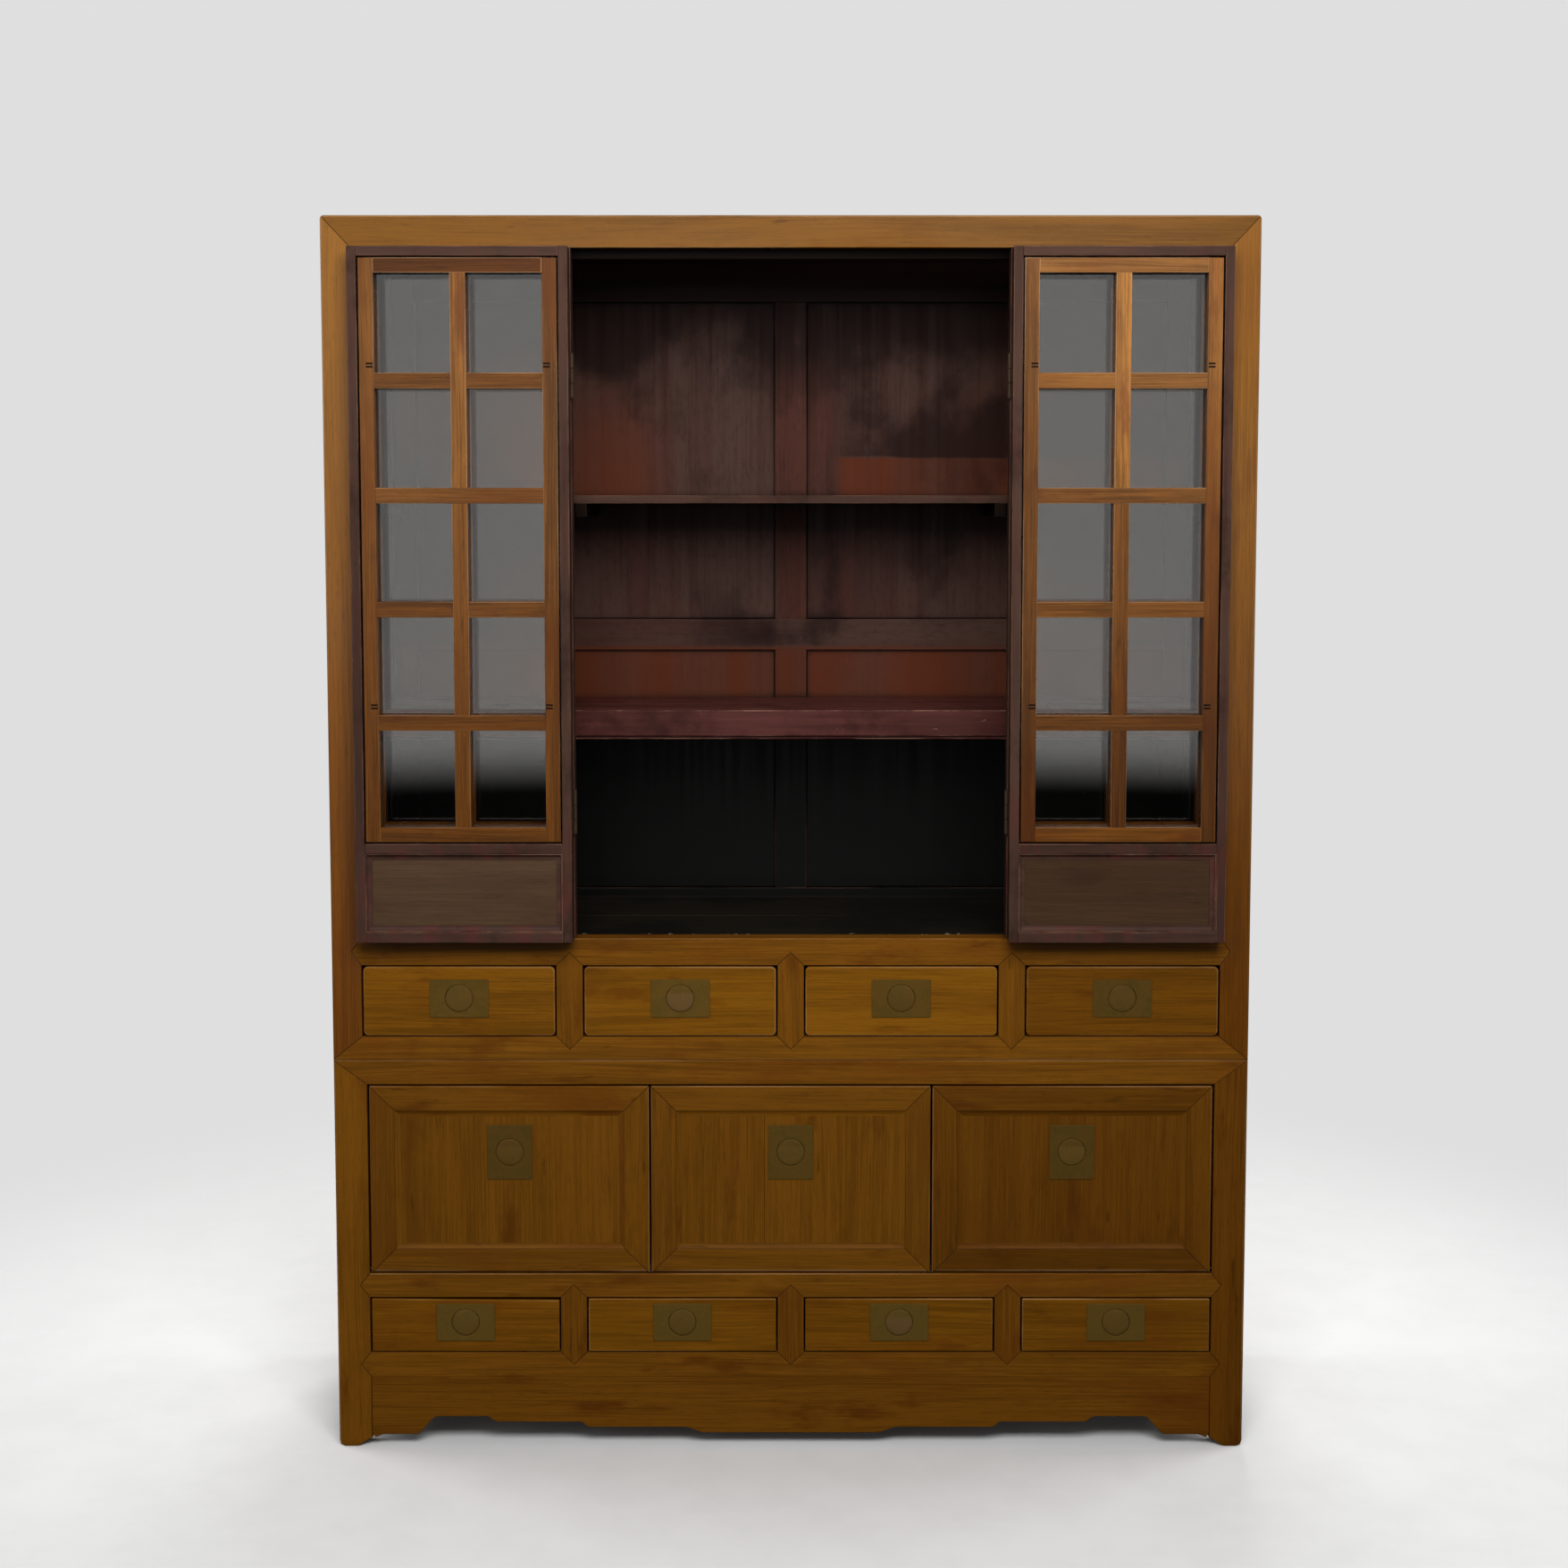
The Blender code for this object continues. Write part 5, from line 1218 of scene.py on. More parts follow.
def inner_boards():
    """Top boards, book floor, shelves and the plain boards that the drawers run on."""
    book_low = levels()["book_low"]
    low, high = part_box("upper_top")
    under = high.z - TOP_BOARD
    boards = Boards("upper_top_boards")
    planks(boards, "upper_top", 3, high.z, high.z - TOP_SKIN, material=1)
    planks(boards, "upper_top", 3, high.z - TOP_SKIN, under)
    # The stop is darkened by its tone as painted shade
    boards.bar(low, (-low.x, low.y + STOP_DEEP, under), "X", tone=STOP_SHADE_TONE)
    boards.piece("case", [finish("inner_lacquer"), finish("bare_wood")], ["upper_top"])
    boards = Boards("book_floor_boards")
    planks(boards, "book_floor", 2, book_low, book_low - BOOK_FLOOR)
    boards.piece("case", finish("inner_lacquer"), ["book_floor"], "black_lacquer")
    low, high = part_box("upper_shelf")
    under = UPPER_SHELF - SHELF_THICK["upper_shelf"]
    boards = Boards("thin_shelf")
    planks(boards, "upper_shelf", 2, UPPER_SHELF, under)
    for x in (-BATTEN_AT, BATTEN_AT):
        boards.bar((x - BATTEN_HALF, low.y, low.z), (x + BATTEN_HALF, high.y, under), "Y", material=1)
    boards.piece("case", [finish("leaf_lacquer"), finish("key_wood")], ["upper_shelf"], "dark_lacquer")
    low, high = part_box("lower_shelf")
    back, foot = low.y + SHELF_RAIL_DEEP, LOWER_SHELF - SHELF_RAIL
    boards = Boards("railed_shelf")
    planks(boards, "lower_shelf", 2, LOWER_SHELF, LOWER_SHELF - SHELF_THICK["lower_shelf"], back)
    boards.bar((low.x, low.y, foot), (high.x, back, LOWER_SHELF), "X", ease=SHELF_RAIL_EASE)
    boards.bar((low.x, low.y + SHELF_BEAD_IN, low.z), (high.x, back, foot), "X", ease=SHELF_BEAD_EASE)
    boards.piece("case", finish("shelf_lacquer"), ["lower_shelf"], "red_lacquer")
    for node in ("lower_top", "lower_floor", "upper_drawer_deck", "lower_drawer_deck"):
        dress(node, "bare_wood_long")


# Plates and pulls
PLATE_SIZE = {"drawer": (0.0475, 0.0310), "door": (0.0365, 0.0450)}
PLATE_THICK = 0.0012
PLATE_CORNER = 0.0012
PLATE_SOFT = 0.0003
# Discs: thickness, back behind the axis, size over the nominal one, crown, and the rim's insets and depths
DISC_THICK = 0.0014
DISC_BEHIND = 0.0006
DISC_OVER = 0.0005
DISC_CROWN = 0.0004
DISC_RIM = ((0.0, 0.0004), (0.0003, 0.0001), (0.0008, 0.0))
ROUND_STEPS = 56
# Thin lips that close the view through the gap round a disc: radii from its edge, angles in degrees, depth
PLATE_LIP = ((-0.0012, 0.0022), (165, 375), 0.0008)
DISC_LIP = ((-0.0020, 0.0018), (42, 138), 0.0004)
LIP_SHEET = 0.0005
LIP_STEPS = 28
# Ears on a plate's back, out from its middle, and the rod between them
EAR_ENDS = (0.0216, 0.0236)
EAR_HALF = 0.0021
EAR_SUNK = 0.0002
EAR_EASE = 0.0002
ROD_RADIUS = 0.0008
NAIL_INSET = 0.0045
NAIL_SEED = 7
NAILS = {"Count": 2, "Radius": 0.0011, "Length": 0.0006, "Crown": 0.0002, "Sides": 12}
NAILS["Turn"] = (math.pi / 2, 0, 0)
# Tones of each plate and of its disc's lower part. A lower part lighter than its plate is a painted
# reflection, as of a disc tipped out at its foot
PULL_TONES = {
    "u1": (0.1, 0.3), "u2": (0.3, 1.2), "u3": (-0.3, -0.3), "u4": (-0.8, -0.5),
    "l1": (0.9, 0.9), "l2": (0.7, 0.7), "l3": (0.7, 1.2), "l4": (0.5, 0.4),
    "d1": (-0.8, 0.0), "d2": (-0.5, 0.2), "d3": (-0.9, 0.3),
}


def plate_place(node):
    """Middle of the plate on a drawer or a door, as x and z, and the place of the plate's back."""
    low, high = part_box(node + "_plate")
    return (low.x + high.x) / 2, (low.z + high.z) / 2, low.y + PLATE_THICK


def ring_plate(boards, x, y, z, half, hole, tone):
    """A flat plate with a round hole and softened edges. Its back is at y, its face in front of that."""
    wide, tall = half
    front, soft = y - PLATE_THICK, PLATE_SOFT
    outer = rounded(-wide, wide, -tall, tall, PLATE_CORNER, 4)
    inner = rounded(-wide + soft, wide - soft, -tall + soft, tall - soft, PLATE_CORNER - soft, 4)
    bore = circle(hole, ROUND_STEPS)
    bm = bmesh.new()

    def skin(rows):
        made = [[bm.verts.new((x + u, level, z + v)) for u, v in points] for points, level in rows]
        return made, [f for a, b in zip(made, made[1:]) for f in bridged(bm, a, b)]

    walls, sides = skin([(outer, y), (outer, front + soft), (inner, front)])
    holes, bored = skin([(circle(hole + soft, ROUND_STEPS), front), (bore, front + soft), (bore, y)])
    for a, b in ((walls[-1], holes[0]), (walls[0], holes[-1])):
        bmesh.ops.triangle_fill(bm, use_beauty=True, edges=loop_edges(bm, a, b))
    boards.shell(bm, "X", sides[len(outer):] + bored[:ROUND_STEPS], tone=tone)


def disc_skin(boards, x, y, z, radius, tone):
    """A round disc with a slightly crowned face and a softened rim. Its back is at y."""
    front = y - DISC_THICK
    profile = [(radius, y)] + [(radius - inset, front + deep) for inset, deep in DISC_RIM]
    profile += [(radius * r, front - DISC_CROWN * (1 - r * r)) for r in (0.8, 0.6, 0.4, 0.2, 0.05)]
    loops = [[(x + u, level, z + v) for u, v in circle(r, ROUND_STEPS)] for r, level in profile]
    boards.rings(loops, "X", tone)


def lip(boards, x, y, z, form, tone):
    """A thin flat lip along part of a disc's edge, behind y."""
    reach, (start, end), behind = form
    angles = [math.radians(start + (end - start) * i / LIP_STEPS) for i in range(LIP_STEPS + 1)]
    radii = [sizes().disc + r for r in reach]
    inner, outer = ([(x + r * math.cos(t), z + r * math.sin(t)) for t in angles] for r in radii)
    front = y + behind
    boards.add("Y", outer + inner[::-1], front, front + LIP_SHEET, "X", ease=0.0, tone=tone)


def pulls():
    """Bronze plates with their corner nails and ears, and the discs on their rods."""
    s = sizes()
    owners = []
    for row in ROWS:
        owners += [(f"{row}_drawer_{i}", f"drawer_{row[0]}{i}", f"{row[0]}{i}") for i in range(1, 5)]
    owners += [(f"lower_door_{i}", f"door_{i}", f"d{i}") for i in range(1, 4)]
    for node, body, mark in owners:
        axis = JOINT[f"pull_{mark}_turn"]
        x, z, back = plate_place(node)
        half = PLATE_SIZE["door" if "door" in node else "drawer"]
        tone, disc_tone = PULL_TONES[mark]
        boards = Boards(node + "_bronze")
        ring_plate(boards, x, back, z, half, s.disc + s.disc_gap, tone)
        lip(boards, x, axis.y, z, PLATE_LIP, tone)
        ear = rectangle(back - EAR_SUNK, axis.y + EAR_HALF, axis.z - EAR_HALF, axis.z + EAR_HALF)
        for out in (-1, 1):
            ends = sorted(out * reach for reach in EAR_ENDS)
            boards.add("X", ear, x + ends[0], x + ends[1], "X", ease=EAR_EASE, tone=tone)
        wide, tall = (reach - NAIL_INSET for reach in half)
        for up in (-1, 1):
            nails = {"First": (x - wide, back - PLATE_THICK, z + up * tall), "Step": (2 * wide, 0, 0)}
            nails.update({"Seed": NAIL_SEED + up, "Tone": tone, "Material": finish("bronze_plate")})
            boards.absorb(grown("stud_row", **nails, **NAILS))
        boards.piece(body, finish("bronze_plate"), [node + "_plate"], "bronze_brass")
        boards = Boards(node + "_turning_disc")
        # The lower half takes its own tone: a painted reflection where it is lighter
        reflection_tone = lambda co: disc_tone if co.z < axis.z else tone
        disc_skin(boards, x, axis.y + DISC_BEHIND, z, s.disc + DISC_OVER, reflection_tone)
        lip(boards, x, back, z, DISC_LIP, tone)
        rod = circle(ROD_RADIUS, ROD_STEPS, axis.y, axis.z)
        boards.add("X", rod, x - EAR_ENDS[1], x + EAR_ENDS[1], "X", ease=0.0)
        boards.piece(f"pull_{mark}", finish("bronze_disc"), [node + "_disc"], "bronze_brass", smooth=True)


# Drawers
FRONT_THICK = 0.020
FRONT_LIFT = 0.0007
FRONT_EASE = 0.0022
FRONT_CORNER = {"upper": 0.008, "lower": 0.0025}
LEAST_CORNER = 0.0004
DRAWER_TONES = {"upper": (-0.2, 0.0, 0.2, -1.8), "lower": (0.0, -0.3, -0.5, -0.5)}
DRAWER_SAG = {"lower_drawer_1": 0.003}
HOLLOW = 0.0265
HOLLOW_FLOOR = 0.0025
HOLLOW_STEPS = 48
# Trays: walls, their place in from the front's ends and top, the floor's levels, the back's drop
TRAY_WALL = 0.012
TRAY_IN = 0.002
TRAY_UNDER = 0.010
TRAY_FLOOR = (0.0067, 0.0147)
TRAY_BACK_DROP = 0.002


def hollow_front(boards, rect, depths, centre, profile, along, corner, tone, edge=1.0, sag=0.0):
    """A front between two depths, with eased edges and a round hollow in its face.

    profile is (inset, depth behind the face), and sag is how far the upper right corner hangs.
    """
    front, back = depths
    u0, u1, v0, v1 = rect
    bm = bmesh.new()
    made = []
    for inset, y in [(profile[0][0], back)] + [(inset, front + deep) for inset, deep in profile]:
        points = rounded(u0 + inset, u1 - inset, v0 + inset, v1 - inset, max(corner - inset, LEAST_CORNER))
        hung = [(u, v - sag * (u - u0) / (u1 - u0) * (v - v0) / (v1 - v0)) for u, v in points]
        made.append([bm.verts.new((u, y, v)) for u, v in hung])
    bridged(bm, made[0], made[1])
    soft = [f for a, b in zip(made[1:], made[2:]) for f in bridged(bm, a, b)]
    ring = circle(HOLLOW, HOLLOW_STEPS, *centre)
    rim, floor = ([bm.verts.new((u, y, v)) for u, v in ring] for y in (front, back - HOLLOW_FLOOR))
    bridged(bm, rim, floor)
    bm.faces.new(floor)
    bm.faces.new(made[0])
    bmesh.ops.triangle_fill(bm, use_beauty=True, edges=loop_edges(bm, made[-1], rim))
    boards.shell(bm, along, soft, tone=tone, edge=edge)


def eased_profile(radius, steps=5):
    """Insets and depths of a rounded front edge, from the side to the face."""
    turns = [math.pi / 2 * i / steps for i in range(steps + 1)]
    return [(radius * (1 - math.cos(t)), radius * (1 - math.sin(t))) for t in turns]


def drawers():
    """Drawer fronts with their trays of bare boards."""
    back = FACE + FRONT_THICK
    profile = eased_profile(FRONT_EASE)
    looks = [finish("drawer_polish"), finish("bare_wood")]
    for row in ROWS:
        for i in range(1, 5):
            node = f"{row}_drawer_{i}"
            low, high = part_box(node)
            boards = Boards(node + "_boards")
            rect = (low.x, high.x, low.z + FRONT_LIFT, high.z)
            centre = plate_place(node)[:2]
            tone, sag = DRAWER_TONES[row][i - 1], DRAWER_SAG.get(node, 0.0)
            hollow_front(boards, rect, (FACE, back), centre, profile, "X", FRONT_CORNER[row], tone, sag=sag)
            x0, x1, rim = low.x + TRAY_IN, high.x - TRAY_IN, high.z - TRAY_UNDER
            a, b, rear = x0 + TRAY_WALL, x1 - TRAY_WALL, high.y - TRAY_WALL
            floor, top = (low.z + level for level in TRAY_FLOOR)
            for left, right in ((x0, a), (b, x1)):
                boards.bar((left, back, low.z), (right, high.y, rim), "Y", material=1)
            boards.bar((a, back, floor), (b, rear, top), "Y", material=1)
            boards.bar((a, rear, floor), (b, high.y, rim - TRAY_BACK_DROP), "X", material=1)
            boards.piece(f"drawer_{row[0]}{i}", looks, [node], "drawer_wood")


# Lower doors
DOOR_THICK = 0.024
DOOR_SUNK = 0.003
DOOR_HEEL = 0.006
DOOR_TONES = (-0.6, -0.6, -1.8)
PANEL_EASE = 0.0004
PANEL_CORNER = 0.0005
# The middle door's panel is of two boards: the left one's share of the width, and its tone against the other
LEFT_SHARE = 0.385
LEFT_TONE = -0.15
# A cove's section: width, lap over the member, curve as parts of its width and depth, base in the panel
DOOR_COVE = 0.009
COVE_LAP = (-0.0006, 0.0003)
COVE_CURVE = ((0.25, 0.55), (0.6, 0.9), (1.0, 1.0))
COVE_BASE = 0.001


def doors():
    """Three doors of mitred members round a sunk panel, rounded at the heel that they turn on."""
    wide, rub = sizes().door_member, sizes().rub
    back = FACE + DOOR_THICK
    depths = (FACE + DOOR_SUNK, back - DOOR_SUNK)
    profile = [(0.0, PANEL_EASE), (PANEL_EASE, 0.0)]
    for i in (1, 2, 3):
        node = f"lower_door_{i}"
        low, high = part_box(node)
        x0, x1, z0, z1 = low.x, high.x, low.z, high.z
        a, b, c, d = x0 + wide, x1 - wide, z0 + wide, z1 - wide
        sets = (
            ([(x0, z0), (a, c), (a, d), (x0, z1)], "Z", [(front_edge(x=x0), rub)]),
            ([(x1, z0), (x1, z1), (b, d), (b, c)], "Z", [(front_edge(x=x1), rub)]),
            ([(x0, z1), (a, d), (b, d), (x1, z1)], "X", [(front_edge(z=z1), rub)]),
            ([(x0, z0), (x1, z0), (b, c), (a, c)], "X", [(front_edge(z=z0), DOOR_HEEL)]),
        )
        boards = Boards(node + "_boards")
        tone = DOOR_TONES[i - 1]
        for outline, along, rounds in sets:
            boards.add("Y", outline, FACE, back, along, tone=tone, edge=-1.0, rounds=rounds)
        centre = plate_place(node)[:2]
        seams = [a, a + (b - a) * LEFT_SHARE, b] if i == 2 else [a, b]
        for left, right in zip(seams, seams[1:]):
            if left < centre[0] < right:
                rect = (left, right, c, d)
                hollow_front(boards, rect, depths, centre, profile, "Z", PANEL_CORNER, tone, -1.0)
            else:
                corners = (left, depths[0], c), (right, depths[1], d)
                boards.bar(*corners, "Z", ease=PANEL_EASE, tone=tone + LEFT_TONE, edge=-1.0)
        door_cove(boards, (a, b, c, d), tone)
        boards.piece(f"door_{i}", finish("panel_polish"), [node], "panel_wood")


def door_cove(boards, opening, tone):
    """The four hollow slopes from a door's members down to its panel, mitred at the corners."""
    a, b, c, d = opening
    base = DOOR_SUNK + COVE_BASE
    section = [COVE_LAP] + [(u * DOOR_COVE, v * DOOR_SUNK) for u, v in COVE_CURVE]
    section += [(DOOR_COVE, base), (COVE_LAP[0], base)]
    corners = [(a, c, 1, 1), (b, c, -1, 1), (b, d, -1, -1), (a, d, 1, -1)]
    for i, along in enumerate("XZXZ"):
        bm = bmesh.new()
        ends = []
        for x, z, right, up in (corners[i], corners[(i + 1) % 4]):
            line = [(x + right * w, FACE + y, z + up * w) for w, y in section]
            ends.append([bm.verts.new(p) for p in line])
        bridged(bm, *ends)
        for line in ends:
            bm.faces.new(line)
        boards.shell(bm, along, tone=tone)


# Glazed leaves
LEAF_THICK = 0.032
LEAF_EASE = 0.0013
LEAF_TOP_RAIL = 0.0155
LOCK_RAIL = 0.016
BOTTOM_RAIL = 0.017
LIP_THICK = 0.010
# Half the gap between two leaves at their joint
JOINT_GAP = 0.001
PANEL_SUNK = 0.007
PANEL_TONES = {-1: 0.3, 1: -1.4}
# A panel's moulding: depth of its edge, width, flat, small step, and the hollow with its end
MOULDING_SUNK = 0.0012
MOULDING_WIDE = 0.010
MOULDING_FLAT = 0.0022
MOULDING_STEP = (0.0026, 0.0012)
MOULDING_HOLLOW = 0.0034
MOULDING_END = 0.001
SASH_FOOT = 0.1595
SASH_BEHIND = 0.0206
SASH_FRONT = 0.0376
SASH_PLAY = 0.0027
SASH_EASE = 0.0008
# Tones of a lattice: rails, bars and uprights from foot to head, and foot and head of its two stiles. The
# right lattice's top upright, at 1.6, is lifted as a painted highlight
SASH_TONES = {
    -1: {"rails": (0.3, -2.1), "stiles": ((0.4, -0.9), (0.1, -1.2)), "bars": (-0.7, -0.6, -0.3, -1.5),
         "uprights": (0.5, -0.4, 0.2)},
    1: {"rails": (1.2, 0.1), "stiles": ((-0.6, -0.7), (-0.6, 0.4)), "bars": (-0.5, 0.0, -0.1, -0.1),
        "uprights": (-1.0, -0.5, 1.6)},
}
# Dark keys in a sash's stiles: half length and height, place in from the stile's edge, heights over a bar
KEY_HALF = (0.0055, 0.0013)
KEY_IN = 0.004
KEY_OVER = (0.024, 0.026)
KEY_APART = 0.0026
KEY_THICK = 0.0006
KEY_EASE = 0.0002
# Hinges: knuckles, heads of their pins, and flaps between the leaves
HINGE_LENGTH = 0.070
HINGE_HEIGHTS = (0.205, 0.900)
HINGE_SIDES = 24
KNUCKLE = {"Radius": 0.004, "Length": HINGE_LENGTH / 3 - 0.0016, "Crown": 0.0005}
PIN_HEAD = {"Radius": 0.0024, "Length": 0.0012, "Crown": 0.0009}
PIN_HEAD_OUT = 0.0002
FLAP = (0.0002, 0.0009)
FLAP_DEEP = 0.022
FLAP_GAP = 0.0005
# Ring pulls: the rose as radii and places from the leaf's face, the ring, the eye, and the clinched prongs
PULL_HEIGHT = 0.600
ROSE = ((0.011, 0.0), (0.011, -0.0006), (0.0100, -0.0011), (0.006, -0.0014), (0.0035, -0.0024),
        (0.0018, -0.0036))
ROSE_STEPS = 40
RING = {"radius": 0.0095, "wire": 0.0014}
RING_OUT = -0.0046
EYE = {"radius": 0.0024, "wire": 0.0009}
EYE_OUT = -0.0040
WIRE_STEPS = (36, 10)
PRONG_HALF = (0.0011, 0.0006)
PRONG_START = 0.003
PRONG_STRETCH = 3.6
PRONG_PROUD = 0.0004
PRONG_THICK = 0.0009
PRONG_EASE = 0.0002


class LeafPlace:
    """Turns a leaf's own places, across from its joint and in from its outer face, into the frame's."""

    def __init__(self, side, inner):
        out = dict(SIDES)[side]
        joint = JOINT[f"{side}_leaf_fold"]
        self.name = f"{side}_{'inner' if inner else 'outer'}"
        self.body = f"{side}_leaf" if inner else "case"
        self.start = joint.x + out * JOINT_GAP
        self.out = out
        self.axis = joint
        self.way = -1 if inner else 1
        self.face = joint.y + self.way * (FACE - joint.y)
        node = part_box(f"{self.name}_leaf")
        far = node[0].x if out < 0 else node[1].x
        self.wide = abs(far - self.start)
        self.low, self.high = node[0].z, node[1].z

    def x(self, *across):
        return sorted(self.start + self.out * u for u in across)

    def y(self, *deep):
        return sorted(self.face + self.way * d for d in deep)

    def outline(self, points):
        return [(self.start + self.out * u, self.face + self.way * d) for u, d in points]


def leaf_frame(place):
    s = sizes()
    boards = Boards(place.name + "_leaf_frame")
    low, high = place.low, place.high
    edge, reach = s.leaf_stile, s.leaf_stile + s.leaf_lip
    section = [(0.0, 0.0), (reach, 0.0), (reach, LIP_THICK), (edge, LIP_THICK), (edge, LEAF_THICK)]
    section.append((0.0, LEAF_THICK))
    for points in (section, [(place.wide - u, d) for u, d in section]):
        boards.add("Z", place.outline(points), low, high, "Z", ease=LEAF_EASE)
    deep = place.x(edge, place.wide - edge), place.y(LIP_THICK, LEAF_THICK)
    thin = place.x(reach, place.wide - reach), place.y(0.0, LIP_THICK)

    def rail(layer, foot, head):
        (x0, x1), (y0, y1) = layer
        boards.bar((x0, y0, foot), (x1, y1, head), "X", ease=LEAF_EASE)

    sash_low, sash_high = LEAF_FOOT + SASH_FOOT, LEAF_HEAD - LEAF_TOP_RAIL
    panel_low, panel_high = LEAF_FOOT + BOTTOM_RAIL, sash_low - LOCK_RAIL
    rail(deep, sash_high, high)
    rail(thin, sash_high - s.leaf_lip, high)
    rail(deep, panel_high, sash_low)
    rail(thin, panel_high, sash_low + s.leaf_lip)
    rail(deep, low, panel_low)
    x0, x1 = deep[0]
    y0, y1 = place.y(PANEL_SUNK, LEAF_THICK - PANEL_SUNK)
    tone = PANEL_TONES[place.out]
    boards.bar((x0, y0, panel_low), (x1, y1, panel_high), "X", material=1, tone=tone)
    for outer, inner in ((MOULDING_SUNK, PANEL_SUNK), (LEAF_THICK - MOULDING_SUNK, LEAF_THICK - PANEL_SUNK)):
        panel_moulding(boards, place, (x0, x1, panel_low, panel_high), outer, inner)
    rail(thin, low, panel_low)
    nodes = [f"{place.name}_leaf"]
    boards.piece(place.body, [finish("leaf_lacquer"), finish("leaf_panel")], nodes, "dark_lacquer")


def panel_moulding(boards, place, opening, outer, inner):
    """A hollow moulding round a sunk panel, from the frame's face down to the panel."""
    x0, x1, z0, z1 = opening
    lift = 1 if inner > outer else -1
    start, step = MOULDING_STEP
    hollow = MOULDING_WIDE - MOULDING_END - start
    section = [(0.0, inner), (0.0, outer), (MOULDING_FLAT, outer), (start, outer + lift * step)]
    for i in range(1, 6):
        turn = math.pi / 2 * i / 5
        sunk = step + MOULDING_HOLLOW * math.sin(turn)
        section.append((start + hollow * (1 - math.cos(turn)), outer + lift * sunk))
    section += [(MOULDING_WIDE, outer + lift * (step + MOULDING_HOLLOW)), (MOULDING_WIDE, inner)]
    bm = bmesh.new()
    made = []
    for inset, deep in section:
        y = place.y(deep)[0]
        corners = rectangle(x0 + inset, x1 - inset, z0 + inset, z1 - inset)
        made.append([bm.verts.new((u, y, v)) for u, v in corners])
    bands = [bridged(bm, made[i - 1], made[i]) for i in range(len(made))]
    boards.shell(bm, "X", bands[2] + bands[3])


def lattice_sash(place, boards, depth):
    """Border and bars of a lattice. Where two bars cross, one runs through and the other is let in."""
    s = sizes()
    edge = s.leaf_stile + SASH_PLAY
    x0, x1 = place.x(edge, place.wide - edge)
    y0, y1 = depth
    z0, z1 = LEAF_FOOT + SASH_FOOT + SASH_PLAY, LEAF_HEAD - LEAF_TOP_RAIL - SASH_PLAY
    rim, bar = s.sash_stile, s.sash_bar
    tones = SASH_TONES[place.out]
    for ends, (a, b) in zip(tones["stiles"], ((x0, x0 + rim), (x1 - rim, x1))):
        tone = lambda co, ends=ends: ends[co.z > (z0 + z1) / 2]
        boards.bar((a, y0, z0), (b, y1, z1), "Z", ease=SASH_EASE, tone=tone)
    for tone, (a, b) in zip(tones["rails"], ((z0, z0 + rim), (z1 - rim, z1))):
        boards.bar((x0 + rim, y0, a), (x1 - rim, y1, b), "X", ease=SASH_EASE, tone=tone)
    tall = (z1 - z0 - 2 * rim - (s.pane_rows - 1) * bar) / s.pane_rows
    half = (x1 - x0 - 2 * rim - bar) / 2
    middle, y = (x0 + x1) / 2, (y0 + y1) / 2
    low, step = z0 + rim, tall + bar
    rows = [low + tall + bar / 2 + i * step for i in range(s.pane_rows - 1)]
    runs = []
    for i, row in enumerate(rows):
        tone = tones["bars"][i % 4]
        if i % 2:
            runs.append(((x0 + rim + half / 2, y, row), (half + bar, 0, 0), 2, half, 0.0, tone))
        else:
            runs.append(((middle, y, row), (0, 0, step), 1, 2 * half + bar, 0.0, tone))
    cuts = [low - bar] + [row - bar / 2 for row in rows[0::2]] + [z1 - rim]
    for i, (a, b) in enumerate(zip(cuts, cuts[1:])):
        tone = tones["uprights"][i % 3]
        runs.append(((middle, y, (a + bar + b) / 2), (0, 0, step), 1, b - a - bar, math.pi / 2, tone))
    common = {"Width": bar, "Depth": y1 - y0, "Ease": SASH_EASE, "Material": finish("lattice_polish")}
    for seed, (first, gap, count, run, turn, tone) in enumerate(runs):
        settings = {"Step": gap, "Count": count, "Length": run, "Turn": turn, "Tone": tone, "Seed": seed}
        boards.absorb(grown("lattice_bars", First=first, **settings, **common))
    return rows


def sash_keys(place, rows):
    """Pairs of thin dark keys let into a sash's stiles, which hold it in its rebate."""
    s = sizes()
    boards = Boards(place.name + "_sash_keys")
    front = place.y(SASH_FRONT - (FACE - place.axis.y))[0]
    y0, y1 = sorted((front, front + place.way * KEY_THICK))
    wide, tall = KEY_HALF
    edge = s.leaf_stile + s.sash_stile - KEY_IN
    for across in (edge, place.wide - edge):
        x = place.x(across)[0]
        for height in (rows[-1] + KEY_OVER[0], rows[0] + KEY_OVER[1]):
            for z in (height - KEY_APART, height + KEY_APART):
                boards.bar((x - wide, y0, z - tall), (x + wide, y1, z + tall), "X", ease=KEY_EASE)
    boards.piece(place.body, finish("key_wood"))


def glazed_leaves():
    for side, _ in SIDES:
        for inner in (True, False):
            place = LeafPlace(side, inner)
            leaf_frame(place)
            depth = place.y(SASH_BEHIND - (FACE - place.axis.y), SASH_FRONT - (FACE - place.axis.y))
            boards = Boards(place.name + "_lattice")
            rows = lattice_sash(place, boards, depth)
            nodes = [f"{side}_inner_sash"] if inner else []
            boards.piece(place.body, finish("lattice_polish"), nodes, "lattice_wood")
            if inner:
                sash_keys(place, rows)
            dress(f"{place.name}_glass", "pane_glass")


